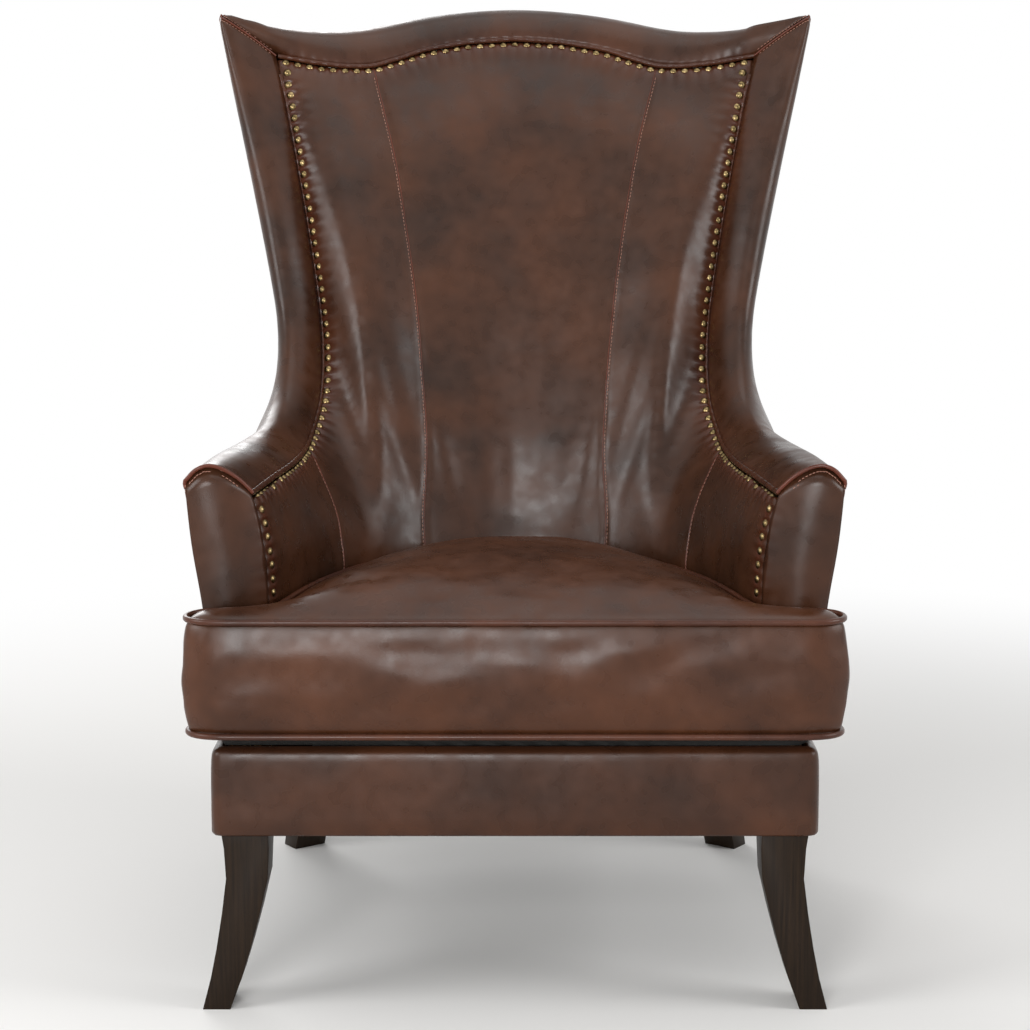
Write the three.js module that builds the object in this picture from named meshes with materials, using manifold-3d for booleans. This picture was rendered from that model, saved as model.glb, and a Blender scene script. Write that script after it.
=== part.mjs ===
// Wingback armchair: barrel back, loose T-shaped seat cushion, nailed edge bands and four sabre legs.
// Millimetres, +Z up, +Y towards the back, origin on the floor under the middle of the chair.
import * as THREE from 'three';
import { mergeVertices } from 'three/addons/utils/BufferGeometryUtils.js';
import Module from 'manifold-3d';

const wasm = await Module();
wasm.setup();

// Driving sizes of the whole chair
const chairWidth = 772;
const chairDepth = 837;
const chairHeight = 1130;
const armHeight = 592;
const legHeight = 196;
const railHeight = 96;
const seatLevel = 440;
const clearance = 0.3;

// Seat plan: the back of the seat is an arc about a point on the centre line
const seatArcRadius = chairWidth * 0.285;
const seatArcCentreY = -chairDepth * 0.1983;
const seatRailWidth = chairWidth * 0.847;
const frontRailReach = chairDepth * 0.4815;
const armFrontReach = chairDepth * 0.398;

// Upholstery and timber thicknesses
const coverThickness = 7;
const railThickness = 19;
const linerGap = 3.6;
const rimGap = 6;
const coverTopGap = 0.9;
const padTopGap = 4;
const frontRailThickness = 22;
const postWidth = 44;
const topRailDepth = 60;
const rimRailDepth = 42;
const backPadThickness = 38;
const sidePadThickness = 21;
const deckThickness = 12;
const bandSwell = 6;
const armFaceSwell = 5;

// Webbing, springs and dust cover
const webThickness = 1.6;
const springCount = 7;
const springBends = 10;
const springPitch = 62;
const springWire = 3.8;
const springAmplitude = 17;
const crossWireShares = [0.35, 0.65];
const clipWidth = 8;
const seatBackRailY = chairDepth * 0.0884;
const seatBackRailThickness = 25;
const dustCoverThickness = 1.2;
const dustCoverInset = 12;

// Brass nails
const nailDiameter = 9.5;
const nailHeight = 3.2;
const nailPitch = 15.5;
const nailInset = 6.2;
const nailLinkShare = 0.3;
const nailSeat = 0.9;

// Seat cushion
const cushionWidth = chairWidth * 0.907;
const cushionFrontReach = frontRailReach + 11;
const cushionThickness = 130;
const cushionCrown = 44;
const crownReach = 190;
const cushionClearance = 6;
const cushionCornerRadius = 26;
const notchRadius = 12;
const frontSwell = 7;
const sideSwell = 2;
const weltRadius = 3.5;
const weltProud = 1.5;
const grooveRise = 4.8;
const undersideShare = 0.6;
const zipSweep = Math.PI * 0.42;
const zipWidth = 26;
const zipThickness = 1.2;
const zipSliderLength = 11;
const zipSliderHeight = 9;
const zipSliderThickness = 2;

// Legs and bolts
const legTopWidth = 50;
const legFootWidth = 30;
const legThickness = 46;
const legSplay = 34;
const legInset = 6;
const rearLegX = chairWidth * 0.347;
const rearLegY = chairDepth * 0.2127;
const rearLegTurn = Math.PI * 0.3;
const cornerBlockLength = 58;
const boltRadius = 4;
const boltClearance = 0.3;
const boltDepth = 40;
const boltSides = 12;

// Levels worked out from the driving sizes
const halfWidth = chairWidth / 2;
const backRise = chairHeight - armHeight;
const railTop = legHeight + railHeight;
const deckBottom = railTop + clearance;
const deckTop = deckBottom + deckThickness;
const cushionBottom = deckTop + clearance;
const railX = seatRailWidth / 2;

// Rows of the rim tables run from the middle of the back (0) over the wing tip (5) to the arm front (16).
const tipStation = 5;
const outerSeamStation = 12.45;
const backSeamStation = 2;
const armSeamStation = 13;
const frontStation = 16;

// x as a share of half the width, y of the depth, and rise of the height of the back above the arms.
const outerNailShares = [
  [0, 0.492, 0.913], [0.342, 0.473, 0.89], [0.557, 0.438, 0.851], [0.738, 0.4, 0.846], [0.868, 0.35, 0.855],
  [0.938, 0.306, 0.859], [0.909, 0.299, 0.777], [0.839, 0.26, 0.548], [0.767, 0.219, 0.284],
  [0.762, 0.189, 0.193], [0.775, 0.154, 0.102], [0.811, 0.11, 0.03], [0.852, 0.057, -0.037],
  [0.855, 0, -0.08], [0.852, -0.155, -0.113], [0.876, -0.263, -0.119], [0.891, -0.37, -0.123],
];
const outerEdgeShares = [
  [0, 0.5, 0.976], [0.342, 0.481, 0.954], [0.565, 0.447, 0.913], [0.751, 0.406, 0.907], [0.894, 0.344, 0.922],
  [1, 0.253, 0.965], [0.953, 0.245, 0.777], [0.883, 0.202, 0.548], [0.806, 0.153, 0.29],
  [0.788, 0.128, 0.212], [0.782, 0.096, 0.132], [0.788, 0.057, 0.065], [0.806, 0.014, 0.019],
  [0.832, -0.036, -0.015], [0.883, -0.155, -0.032], [0.907, -0.263, -0.035], [0.922, -0.398, -0.041],
];
const crestShares = [
  [0, 0.394, 1], [0.326, 0.378, 0.976], [0.531, 0.346, 0.941], [0.712, 0.313, 0.935], [0.842, 0.281, 0.944],
  [0.979, 0.239, 0.959], [0.907, 0.22, 0.777], [0.813, 0.177, 0.548], [0.744, 0.129, 0.29],
  [0.728, 0.1, 0.208], [0.723, 0.065, 0.13], [0.728, 0.026, 0.074], [0.744, -0.018, 0.037],
  [0.767, -0.065, 0.015], [0.806, -0.155, 0], [0.829, -0.263, 0], [0.845, -0.398, -0.004],
];
const innerNailShares = [
  [0, 0.363, 0.918], [0.306, 0.348, 0.892], [0.487, 0.32, 0.848], [0.648, 0.299, 0.851], [0.751, 0.29, 0.862],
  [0.813, 0.283, 0.87], [0.782, 0.265, 0.777], [0.718, 0.223, 0.548], [0.655, 0.173, 0.284],
  [0.64, 0.149, 0.191], [0.635, 0.117, 0.104], [0.637, 0.079, 0.046], [0.648, 0.024, -0.004],
  [0.655, -0.036, -0.033], [0.668, -0.161, -0.048], [0.699, -0.263, -0.056], [0.738, -0.376, -0.069],
];
// Foot of the outside covers: x as a share of half the seat rail's width, y of the depth.
const outerFootShares = [
  [0, 0.342], [0.306, 0.335], [0.505, 0.318], [0.648, 0.299], [0.765, 0.276], [0.841, 0.259],
  [0.865, 0.253], [0.896, 0.245], [0.93, 0.234], [0.954, 0.227], [0.979, 0.217], [1.003, 0.207],
  [1.021, 0.196], [1.034, 0.161], [1.037, 0.048], [1.021, -0.131], [1, -0.37],
];
// Foot of the inside covers: angle on the seat arc as a share of a right angle, up to the arm seam.
const innerFootArcShares = [0, 0.176, 0.34, 0.41, 0.462, 0.498, 0.517, 0.547, 0.578, 0.602, 0.63, 0.656,
  0.69, 0.755];
const innerFootSideShares = [[0.601, -0.191], [0.642, -0.265], [0.697, -0.376]];
// Below the mitre the arm's front edge falls in these steps: share of the drop, and how far it flares.
const armFaceDropShares = [0.12, 0.3, 0.55, 1];
const armFaceFlareShares = [0.78, 0.4, 0.14, 0];
const armFaceFlare = 12;
const flarePower = 2;

// Leather, timber and metal
const leather = { color: 0x4a2a20, roughness: 0.34, metalness: 0 };
const welting = { color: 0x6b3a28, roughness: 0.36, metalness: 0 };
const darkWood = { color: 0x33291e, roughness: 0.4, metalness: 0 };
const frameWood = { color: 0xb08f62, roughness: 0.7, metalness: 0 };
const brass = { color: 0xb09a60, roughness: 0.32, metalness: 1 };
const steel = { color: 0x8d9094, roughness: 0.4, metalness: 1 };
const cloth = { color: 0x2a2724, roughness: 0.95, metalness: 0 };
const jute = { color: 0xa78b5c, roughness: 0.9, metalness: 0 };

const chair = new THREE.Group();

function addPiece(name, geometry, finish) {
  const mesh = new THREE.Mesh(geometry, new THREE.MeshStandardMaterial(finish));
  mesh.name = name;
  chair.add(mesh);
  return mesh;
}

// Closed meshes from lattices and rings
function signedVolume(positions, index) {
  const [a, b, c] = [new THREE.Vector3(), new THREE.Vector3(), new THREE.Vector3()];
  let volume = 0;
  for (let i = 0; i < index.length; i += 3) {
    a.fromArray(positions, index[i] * 3);
    b.fromArray(positions, index[i + 1] * 3);
    c.fromArray(positions, index[i + 2] * 3);
    volume += a.dot(b.cross(c)) / 6;
  }
  return volume;
}

function closedGeometry(positions, index) {
  const faces = [...index];
  if (signedVolume(positions, faces) < 0) faces.reverse();
  const geometry = new THREE.BufferGeometry();
  geometry.setAttribute('position', new THREE.Float32BufferAttribute(positions, 3));
  geometry.setIndex(faces);
  return geometry;
}

function mirrored(geometry) {
  const copy = geometry.clone();
  const position = copy.getAttribute('position');
  for (let i = 0; i < position.count; i += 1) position.setX(i, -position.getX(i));
  return closedGeometry([...position.array], [...copy.getIndex().array]);
}

// A closed block: place(u, v, w) bends a box whose divisions are the three lists of stops
function blockGeometry(us, vs, ws, place) {
  const positions = [];
  const index = [];
  const numbers = new Map();
  const corner = (i, j, k) => {
    const key = (i * vs.length + j) * ws.length + k;
    if (!numbers.has(key)) {
      numbers.set(key, positions.length / 3);
      positions.push(...place(us[i], vs[j], ws[k]).toArray());
    }
    return numbers.get(key);
  };
  const side = (rows, columns, pick, outward) => {
    for (let i = 0; i < rows - 1; i += 1) {
      for (let j = 0; j < columns - 1; j += 1) {
        const quad = [pick(i, j), pick(i + 1, j), pick(i + 1, j + 1), pick(i, j + 1)];
        if (!outward) quad.reverse();
        index.push(quad[0], quad[1], quad[2], quad[0], quad[2], quad[3]);
      }
    }
  };
  for (const end of [true, false]) {
    const [iEnd, jEnd, kEnd] = end ? [us.length - 1, vs.length - 1, ws.length - 1] : [0, 0, 0];
    side(us.length, vs.length, (i, j) => corner(i, j, kEnd), end);
    side(vs.length, ws.length, (j, k) => corner(iEnd, j, k), end);
    side(ws.length, us.length, (k, i) => corner(i, jEnd, k), end);
  }
  return closedGeometry(positions, index);
}

// A closed skin through rings of equally many points, with fans over its ends from hubs or the ends' middles
function ringGeometry(rings, joined = false, hubs = []) {
  const count = rings[0].length;
  const positions = rings.flat().flatMap((point) => point.toArray());
  const index = [];
  const bands = joined ? rings.length : rings.length - 1;
  for (let r = 0; r < bands; r += 1) {
    const next = (r + 1) % rings.length;
    for (let i = 0; i < count; i += 1) {
      const [a, b] = [r * count + i, r * count + (i + 1) % count];
      const [c, d] = [next * count + (i + 1) % count, next * count + i];
      index.push(a, b, c, a, c, d);
    }
  }
  if (!joined) {
    for (const end of [0, rings.length - 1]) {
      const hub = positions.length / 3;
      const middle = new THREE.Vector3();
      rings[end].forEach((point) => middle.add(point));
      positions.push(...(hubs[end === 0 ? 0 : 1] ?? middle.divideScalar(count)).toArray());
      for (let i = 0; i < count; i += 1) {
        const [a, b] = [end * count + i, end * count + (i + 1) % count];
        index.push(...(end === 0 ? [hub, b, a] : [hub, a, b]));
      }
    }
  }
  return closedGeometry(positions, index);
}

function stops(from, to, count) {
  return Array.from({ length: count + 1 }, (_, i) => from + (to - from) * i / count);
}

function clean(geometry) {
  geometry.deleteAttribute('normal');
  geometry.deleteAttribute('uv');
  return mergeVertices(geometry);
}

function boxBetween(low, high) {
  const box = clean(new THREE.BoxGeometry(high[0] - low[0], high[1] - low[1], high[2] - low[2]));
  return box.translate((low[0] + high[0]) / 2, (low[1] + high[1]) / 2, (low[2] + high[2]) / 2);
}

// Joining and cutting
function solidOf(geometry) {
  const whole = clean(geometry.clone());
  const vertProperties = new Float32Array(whole.getAttribute('position').array);
  const triVerts = new Uint32Array(whole.getIndex().array);
  return new wasm.Manifold(new wasm.Mesh({ numProp: 3, vertProperties, triVerts }));
}

function geometryOf(solid) {
  const mesh = solid.getMesh();
  const geometry = new THREE.BufferGeometry();
  geometry.setAttribute('position', new THREE.Float32BufferAttribute(mesh.vertProperties, 3));
  geometry.setIndex([...mesh.triVerts]);
  return geometry;
}

function cut(geometry, tools) {
  return geometryOf(tools.reduce((solid, tool) => solid.subtract(solidOf(tool)), solidOf(geometry)));
}

function join(pieces) {
  return geometryOf(pieces.slice(1).reduce((solid, piece) => solid.add(solidOf(piece)), solidOf(pieces[0])));
}

// Lines of the rim: each gives a point for a station, and mirrors it for stations left of the middle
function mirrorPoint(point) {
  return new THREE.Vector3(-point.x, point.y, point.z);
}

function stationLine(points) {
  const top = points.slice(0, tipStation + 1);
  const leftTop = top.slice(1).reverse().map(mirrorPoint);
  const topCurve = new THREE.CatmullRomCurve3([...leftTop, ...top], false, 'centripetal');
  const sideCurve = new THREE.CatmullRomCurve3(points.slice(tipStation), false, 'centripetal');
  return (station) => {
    const right = Math.min(Math.abs(station), frontStation);
    const point = right <= tipStation
      ? topCurve.getPoint((right + tipStation) / (2 * tipStation))
      : sideCurve.getPoint((right - tipStation) / (frontStation - tipStation));
    return station < 0 ? mirrorPoint(point) : point;
  };
}

function rimLine(shares) {
  return stationLine(shares.map(([x, y, rise]) => new THREE.Vector3(
    x * halfWidth, y * chairDepth, armHeight + rise * backRise)));
}

const outerNail = rimLine(outerNailShares);
const outerEdge = rimLine(outerEdgeShares);
const crest = rimLine(crestShares);
const innerNail = rimLine(innerNailShares);
const outerFoot = stationLine(outerFootShares.map(([x, y]) => new THREE.Vector3(
  x * railX, y * chairDepth, legHeight)));
const innerFoot = stationLine([
  ...innerFootArcShares.map((share) => new THREE.Vector3(
    seatArcRadius * Math.sin(share * Math.PI / 2),
    seatArcCentreY + seatArcRadius * Math.cos(share * Math.PI / 2), seatLevel)),
  ...innerFootSideShares.map(([x, y]) => new THREE.Vector3(x * halfWidth, y * chairDepth, seatLevel)),
]);

// The two faces of the wall: t is 0 at the foot and 1 at the nails, and x flares more near the top
function wallFace(foot, head) {
  return (station, t) => {
    const [low, high] = [foot(station), head(station)];
    const rise = Math.max(t, 0);
    return new THREE.Vector3(
      low.x + (high.x - low.x) * rise ** flarePower,
      low.y + (high.y - low.y) * rise,
      low.z + (high.z - low.z) * rise,
    );
  };
}

const outerFace = wallFace(outerFoot, outerNail);
const innerFace = wallFace(innerFoot, innerNail);

// Unit vector from a face into the wall; at the nails it points straight across to the other nail line
function intoWall(face, otherNail, ownNail, station, t, inward) {
  const step = 0.3;
  const [from, to] = [Math.max(station - step, -frontStation), Math.min(station + step, frontStation)];
  const along = face(to, t).sub(face(from, t));
  const rise = Math.min(Math.max(t, step), 1);
  const up = face(station, rise).sub(face(station, rise - step));
  const normal = new THREE.Vector3().crossVectors(along, up).normalize().multiplyScalar(inward);
  const across = otherNail(station).sub(ownNail(station)).normalize();
  const blend = Math.max(t, 0) ** flarePower;
  return normal.lerp(across, blend).normalize();
}

function outerAt(station, t, inset) {
  const into = intoWall(outerFace, innerNail, outerNail, station, t, 1);
  const point = outerFace(station, t).addScaledVector(into, inset);
  if (t === 0) point.z = legHeight;
  return point;
}

function innerAt(station, t, inset) {
  const into = intoWall(innerFace, outerNail, innerNail, station, t, -1);
  return innerFace(station, t).addScaledVector(into, inset);
}

// Share of the outer face's height at which it reaches a level, and the station step of a short length
function outerShareAt(station, level) {
  return (level - legHeight) / (outerNail(station).z - legHeight);
}

function stationStep(line, station, length) {
  const [from, to] = [Math.max(station - 0.5, -frontStation), Math.min(station + 0.5, frontStation)];
  return length * (to - from) / line(from).distanceTo(line(to));
}

// Share of the height at which a face lies a length inside its nail line, measured square to that line
function topShare(face, station, length) {
  const step = 0.05;
  const along = face(station + step, 1).sub(face(station - step, 1));
  const up = face(station, 1).sub(face(station, 1 - step));
  const slant = Math.max(Math.sin(along.angleTo(up)), 0.12);
  return 1 - length * step / (up.length() * slant);
}

// Stops between two stations, at every half station, with one on either side of each wing tip
function stationStops(from, to) {
  const inner = [];
  for (let s = Math.ceil(from * 2) / 2; s < to; s += 0.5) {
    if (Math.abs(s) === tipStation) inner.push(s - 0.1, s + 0.1);
    else inner.push(s);
  }
  return [from, ...inner.filter((s) => s > from + 0.15 && s < to - 0.15), to];
}

// Blocks of the outer and the inner half of the wall, between two stations and two insets
function outerBlock(from, to, share, insets, rows) {
  return blockGeometry(stationStops(from, to), stops(0, 1, rows), insets, (station, v, inset) => {
    const [low, high] = share(station);
    return outerAt(station, low + (high - low) * v, inset);
  });
}

// Cover of the outer face, with one row of points along the nails
function coverBlock(from, to, rows) {
  return blockGeometry(stationStops(from, to), [...stops(0, rows - 1, rows - 1), rows, rows + 1],
    [0, coverThickness], (station, row, inset) => {
      const nailShare = topShare(outerFace, station, nailInset);
      const t = row > rows ? topShare(outerFace, station, coverTopGap) : nailShare * row / rows;
      return outerAt(station, t, inset);
    });
}

const seamStep = (station) => stationStep(outerFoot, station, clearance);
const railInsets = [coverThickness + linerGap, coverThickness + linerGap + railThickness];

addPiece('outside_back', coverBlock(-outerSeamStation + seamStep(outerSeamStation),
  outerSeamStation - seamStep(outerSeamStation), 5), leather);
const outsideArm = coverBlock(outerSeamStation + seamStep(outerSeamStation), frontStation, 4);
addPiece('right_outside_arm', outsideArm, leather);
addPiece('left_outside_arm', mirrored(outsideArm), leather);

// Timber frame inside the wall: base rails, posts, top rail, wing rails and arm rails
const baseHeight = (station) => [0, outerShareAt(station, railTop)];
const backPostStation = 3.6;
const backPostEnd = backPostStation + stationStep(outerFoot, backPostStation, postWidth);
const wingRailStart = tipStation + 0.4;
const wingRailEnd = 11.5;
const armRailStart = wingRailEnd + stationStep(outerNail, wingRailEnd, clearance);
const armPostStart = frontStation - stationStep(outerFoot, frontStation, postWidth);
const topRailEnd = tipStation - 0.25;

const betweenRails = (station) => [
  outerShareAt(station, railTop + clearance),
  topShare(outerFace, station, topRailDepth + clearance * 2),
];
const underArmRail = (station) => [
  outerShareAt(station, railTop + clearance),
  topShare(outerFace, station, rimRailDepth + clearance),
];
const topRailShare = (station) => [
  topShare(outerFace, station, topRailDepth),
  topShare(outerFace, station, rimGap),
];
const rimRailShare = (station) => [
  topShare(outerFace, station, rimRailDepth),
  topShare(outerFace, station, rimGap),
];

addPiece('back_rail', outerBlock(-outerSeamStation, outerSeamStation, baseHeight, railInsets, 1), frameWood);
const sideRail = outerBlock(outerSeamStation + seamStep(outerSeamStation), frontStation, baseHeight,
  railInsets, 1);
const backPost = outerBlock(backPostStation, backPostEnd, betweenRails, railInsets, 3);
const wingRail = outerBlock(wingRailStart, wingRailEnd, rimRailShare, railInsets, 1);
const armRail = outerBlock(armRailStart, frontStation, rimRailShare, railInsets, 1);
const armPost = outerBlock(armPostStart, frontStation, underArmRail, railInsets, 2);
addPiece('top_rail', outerBlock(-topRailEnd, topRailEnd, topRailShare, railInsets, 1), frameWood);
const framePairs = { side_rail: sideRail, back_post: backPost, wing_rail: wingRail, arm_rail: armRail,
  arm_post: armPost };
for (const [name, geometry] of Object.entries(framePairs)) {
  addPiece(`right_${name}`, geometry, frameWood);
  addPiece(`left_${name}`, mirrored(geometry), frameWood);
}

// Inside covers with their padding; below the seat level they drop straight to the deck
function innerBlock(from, to, insets, rows, bulge) {
  const heights = [-1, ...stops(0, rows - 1, rows - 1), rows, rows + 1];
  return blockGeometry(stationStops(from, to), heights, insets, (station, row, inset) => {
    const v = Math.max(row / rows, 0);
    const nailShare = topShare(innerFace, station, nailInset);
    const t = row > rows ? topShare(innerFace, station, padTopGap) : nailShare * v;
    const point = innerAt(station, t, inset);
    if (row < 0) point.z = deckBottom;
    if (inset === 0 && row < rows) {
      const crown = bulge * Math.sin(Math.PI * v) * Math.sin(Math.PI * (station - from) / (to - from));
      point.sub(intoWall(innerFace, outerNail, innerNail, station, t, -1).multiplyScalar(crown));
    }
    return point;
  });
}

const innerStep = (station) => stationStep(innerFoot, station, clearance);
const backCrown = 9;
const sideCrown = 4;
const insideBack = innerBlock(-backSeamStation + innerStep(backSeamStation),
  backSeamStation - innerStep(backSeamStation), [0, backPadThickness], 5, backCrown);
addPiece('inside_back', insideBack, leather);
const insideWing = innerBlock(backSeamStation + innerStep(backSeamStation),
  armSeamStation - innerStep(armSeamStation), [0, sidePadThickness], 5, sideCrown);
const insideArm = innerBlock(armSeamStation + innerStep(armSeamStation), frontStation,
  [0, sidePadThickness], 3, sideCrown);
addPiece('right_inside_wing', insideWing, leather);
addPiece('left_inside_wing', mirrored(insideWing), leather);
addPiece('right_inside_arm', insideArm, leather);
addPiece('left_inside_arm', mirrored(insideArm), leather);

// Back webbing across two inner posts that stand on the seat back rail
const innerPostStation = 1.2;
const innerPostEnd = innerPostStation + stationStep(innerFoot, innerPostStation, postWidth);
const webInset = backPadThickness + clearance * 4;
const innerPostInset = webInset + webThickness + clearance * 3;
const webTopShare = (station) => topShare(innerFace, station, rimGap);
const webRows = stops(0, 5, 5);
addPiece('back_webbing', blockGeometry(stationStops(-innerPostEnd, innerPostEnd), webRows.slice(1),
  [webInset, webInset + webThickness], (station, row, inset) => innerAt(station,
    webTopShare(station) * row / (webRows.length - 1), inset)), jute);
const innerPost = blockGeometry(stationStops(innerPostStation, innerPostEnd), [-1, ...webRows],
  [innerPostInset, innerPostInset + railThickness], (station, row, inset) => {
    const point = innerAt(station, webTopShare(station) * Math.max(row, 0) / (webRows.length - 1), inset);
    if (row < 0) point.z = railTop + clearance;
    return point;
  });
addPiece('right_inner_back_post', innerPost, frameWood);
addPiece('left_inner_back_post', mirrored(innerPost), frameWood);

// Edge bands: a padded roll from the outer nails round the edge and the crest to the inner nails
function bandRing(corners, lift, swell) {
  const [nail, edge, top, inner] = corners;
  const base = nail.clone().add(inner).multiplyScalar(0.5);
  const middle = edge.clone().add(top).add(base).divideScalar(3);
  const up = edge.clone().add(top).multiplyScalar(0.5).sub(base).normalize().multiplyScalar(lift);
  const halfway = (a, b) => {
    const point = a.clone().add(b).multiplyScalar(0.5);
    return point.add(point.clone().sub(middle).normalize().multiplyScalar(swell));
  };
  return [nail.clone().add(up), halfway(nail, edge), edge, halfway(edge, top), top, halfway(top, inner),
    inner.clone().add(up)];
}

const stationRing = (station) => bandRing(
  [outerNail(station), outerEdge(station), crest(station), innerNail(station)], clearance, bandSwell);
const mitreStep = 0.03;
addPiece('top_band', ringGeometry(stationStops(-tipStation + mitreStep, tipStation - mitreStep)
  .map(stationRing)), leather);
const armMitre = stationStep(outerNail, frontStation, clearance);
const sideBand = ringGeometry(stationStops(tipStation + mitreStep, frontStation - armMitre).map(stationRing));
addPiece('right_side_band', sideBand, leather);
addPiece('left_side_band', mirrored(sideBand), leather);

// Arm-front band: from the mitre at the top of the arm down to the seat rail
const faceBottom = railTop + clearance * 2;
function armFaceRing(drop, flare) {
  const nailTop = outerNail(frontStation);
  const innerTop = innerNail(frontStation);
  const level = nailTop.z + (faceBottom - nailTop.z) * drop;
  const innerLevel = innerTop.z + (faceBottom - innerTop.z) * drop;
  const innerShare = Math.max((innerLevel - seatLevel) / (innerTop.z - seatLevel), 0);
  const nail = outerFace(frontStation, outerShareAt(frontStation, level));
  const inner = innerFace(frontStation, innerShare);
  inner.z = innerLevel;
  const edge = new THREE.Vector3(nail.x + armFaceFlare * flare, -armFrontReach, level);
  const face = new THREE.Vector3((nail.x + inner.x) / 2, -armFrontReach - armFaceSwell, level);
  const ring = bandRing([nail, edge, face, inner], 0, bandSwell / 2);
  ring[0].y -= clearance;
  ring[ring.length - 1].y -= clearance;
  return ring;
}

const mitreRing = stationRing(frontStation).map((point) => {
  const lowered = point.clone();
  lowered.y -= clearance;
  lowered.z -= clearance;
  return lowered;
});
const armFront = ringGeometry([mitreRing, ...armFaceDropShares.map(
  (drop, i) => armFaceRing(drop, armFaceFlareShares[i]))]);
addPiece('right_arm_front', armFront, leather);
addPiece('left_arm_front', mirrored(armFront), leather);

// Brass nails as strips of beads: a full head at every pitch and a narrow link between the heads
function nailStrip(face, seatShare, outside, from, to) {
  const step = 0.2;
  const seats = stationStops(from, to).map((station) => {
    const t = seatShare(station);
    const along = face(Math.min(station + step, frontStation), t).sub(face(station - step, t));
    const up = face(station, t).sub(face(station, t - step));
    return {
      point: face(station, t),
      outward: new THREE.Vector3().crossVectors(up, along).normalize().multiplyScalar(outside),
    };
  });
  const lengths = [0];
  for (let i = 1; i < seats.length; i += 1) {
    lengths.push(lengths[i - 1] + seats[i].point.distanceTo(seats[i - 1].point));
  }
  const whole = lengths[lengths.length - 1];
  const pitches = Math.round(whole / nailPitch);
  return ringGeometry(stops(0, whole, pitches * 2).map((walked, i) => {
    const after = Math.min(Math.max(lengths.findIndex((length) => length >= walked), 1), seats.length - 1);
    const share = Math.min((walked - lengths[after - 1]) / (lengths[after] - lengths[after - 1]), 1);
    const seat = seats[after - 1].point.clone().lerp(seats[after].point, share);
    const outward = seats[after - 1].outward.clone().lerp(seats[after].outward, share).normalize();
    const along = seats[after].point.clone().sub(seats[after - 1].point);
    const across = new THREE.Vector3().crossVectors(along, outward).normalize();
    const size = i % 2 === 1 ? 1 : nailLinkShare;
    const base = seat.addScaledVector(outward, nailSeat);
    return [
      base.clone().addScaledVector(across, -nailDiameter / 2 * size),
      base.clone().addScaledVector(outward, nailHeight * size),
      base.clone().addScaledVector(across, nailDiameter / 2 * size),
    ];
  }));
}

const outerSeat = (station) => topShare(outerFace, station, nailInset);
const innerSeat = (station) => topShare(innerFace, station, nailInset);
const tipGap = 0.15;
const frontNailGap = stationStep(outerNail, frontStation, nailDiameter);
const backEnds = [-tipStation + tipGap, tipStation - tipGap];
const sideEnds = [tipStation + tipGap, frontStation - frontNailGap];
addPiece('outer_back_nails', nailStrip(outerFace, outerSeat, 1, ...backEnds), brass);
addPiece('inner_back_nails', nailStrip(innerFace, innerSeat, -1, ...backEnds), brass);
const outerSideNails = nailStrip(outerFace, outerSeat, 1, ...sideEnds);
const innerSideNails = nailStrip(innerFace, innerSeat, -1, ...sideEnds);
addPiece('right_outer_nails', outerSideNails, brass);
addPiece('left_outer_nails', mirrored(outerSideNails), brass);
addPiece('right_inner_nails', innerSideNails, brass);
addPiece('left_inner_nails', mirrored(innerSideNails), brass);

// Seat plan outline from the middle of the back to the middle of the front, right half only
function seatHalfOutline(gap, earHalf, earBack, front, cornerRadius, count) {
  const path = new THREE.Path();
  const radius = seatArcRadius - gap;
  const seamAngle = innerFootArcShares[armSeamStation] * Math.PI / 2;
  path.absarc(0, seatArcCentreY, radius, Math.PI / 2, Math.PI / 2 - seamAngle, true);
  for (const station of [armSeamStation + 1, armSeamStation + 2]) {
    path.lineTo(innerFoot(station).x - gap, innerFoot(station).y);
  }
  const notch = innerFoot(frontStation);
  path.lineTo(notch.x - gap, earBack + notchRadius);
  path.quadraticCurveTo(notch.x - gap, earBack, notch.x - gap + notchRadius, earBack);
  path.lineTo(earHalf - notchRadius, earBack);
  path.quadraticCurveTo(earHalf, earBack, earHalf, earBack - notchRadius);
  path.lineTo(earHalf, front + cornerRadius);
  path.quadraticCurveTo(earHalf, front, earHalf - cornerRadius, front);
  path.lineTo(0, front);
  return path.getSpacedPoints(count);
}

function wholeOutline(half) {
  const left = half.slice(1, -1).reverse().map((point) => new THREE.Vector2(-point.x, point.y));
  return [...half, ...left];
}

// Unit normals that point out of a clockwise outline
function outlineNormals(points) {
  return points.map((_, i) => {
    const before = points[(i + points.length - 1) % points.length];
    const after = points[(i + 1) % points.length];
    return new THREE.Vector2(before.y - after.y, after.x - before.x).normalize();
  });
}

// Deck under the cushion, from the lip of the front rail's cover to the inside back
const lipDepth = 14;
const earBackY = -armFrontReach - armFaceSwell - bandSwell;
const deckEarBack = earBackY - clearance;
const deckHalf = seatHalfOutline(clearance * 2, railX - coverThickness - clearance, deckEarBack,
  -frontRailReach + lipDepth + clearance, notchRadius, 30);
const deckShape = new THREE.Shape(wholeOutline(deckHalf));
const deck = clean(new THREE.ExtrudeGeometry(deckShape, { depth: deckThickness, bevelEnabled: false }));
addPiece('seat_deck', deck.translate(0, 0, deckBottom), cloth);

// Loose seat cushion: crowned T with a boxing that swells between its welts
const cushionGap = cushionClearance + sideSwell;
const cushionHalf = seatHalfOutline(cushionGap, cushionWidth / 2, earBackY - cushionClearance,
  -cushionFrontReach, cushionCornerRadius, 34);
const cushionOutline = wholeOutline(cushionHalf);
const cushionNormals = outlineNormals(cushionOutline);
const starY = (earBackY - cushionClearance - cushionFrontReach) / 2;
const grooveInset = weltRadius - weltProud + clearance * 4;
const grooveHeight = weltRadius + grooveRise;
const boxingTop = cushionBottom + cushionThickness;

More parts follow.
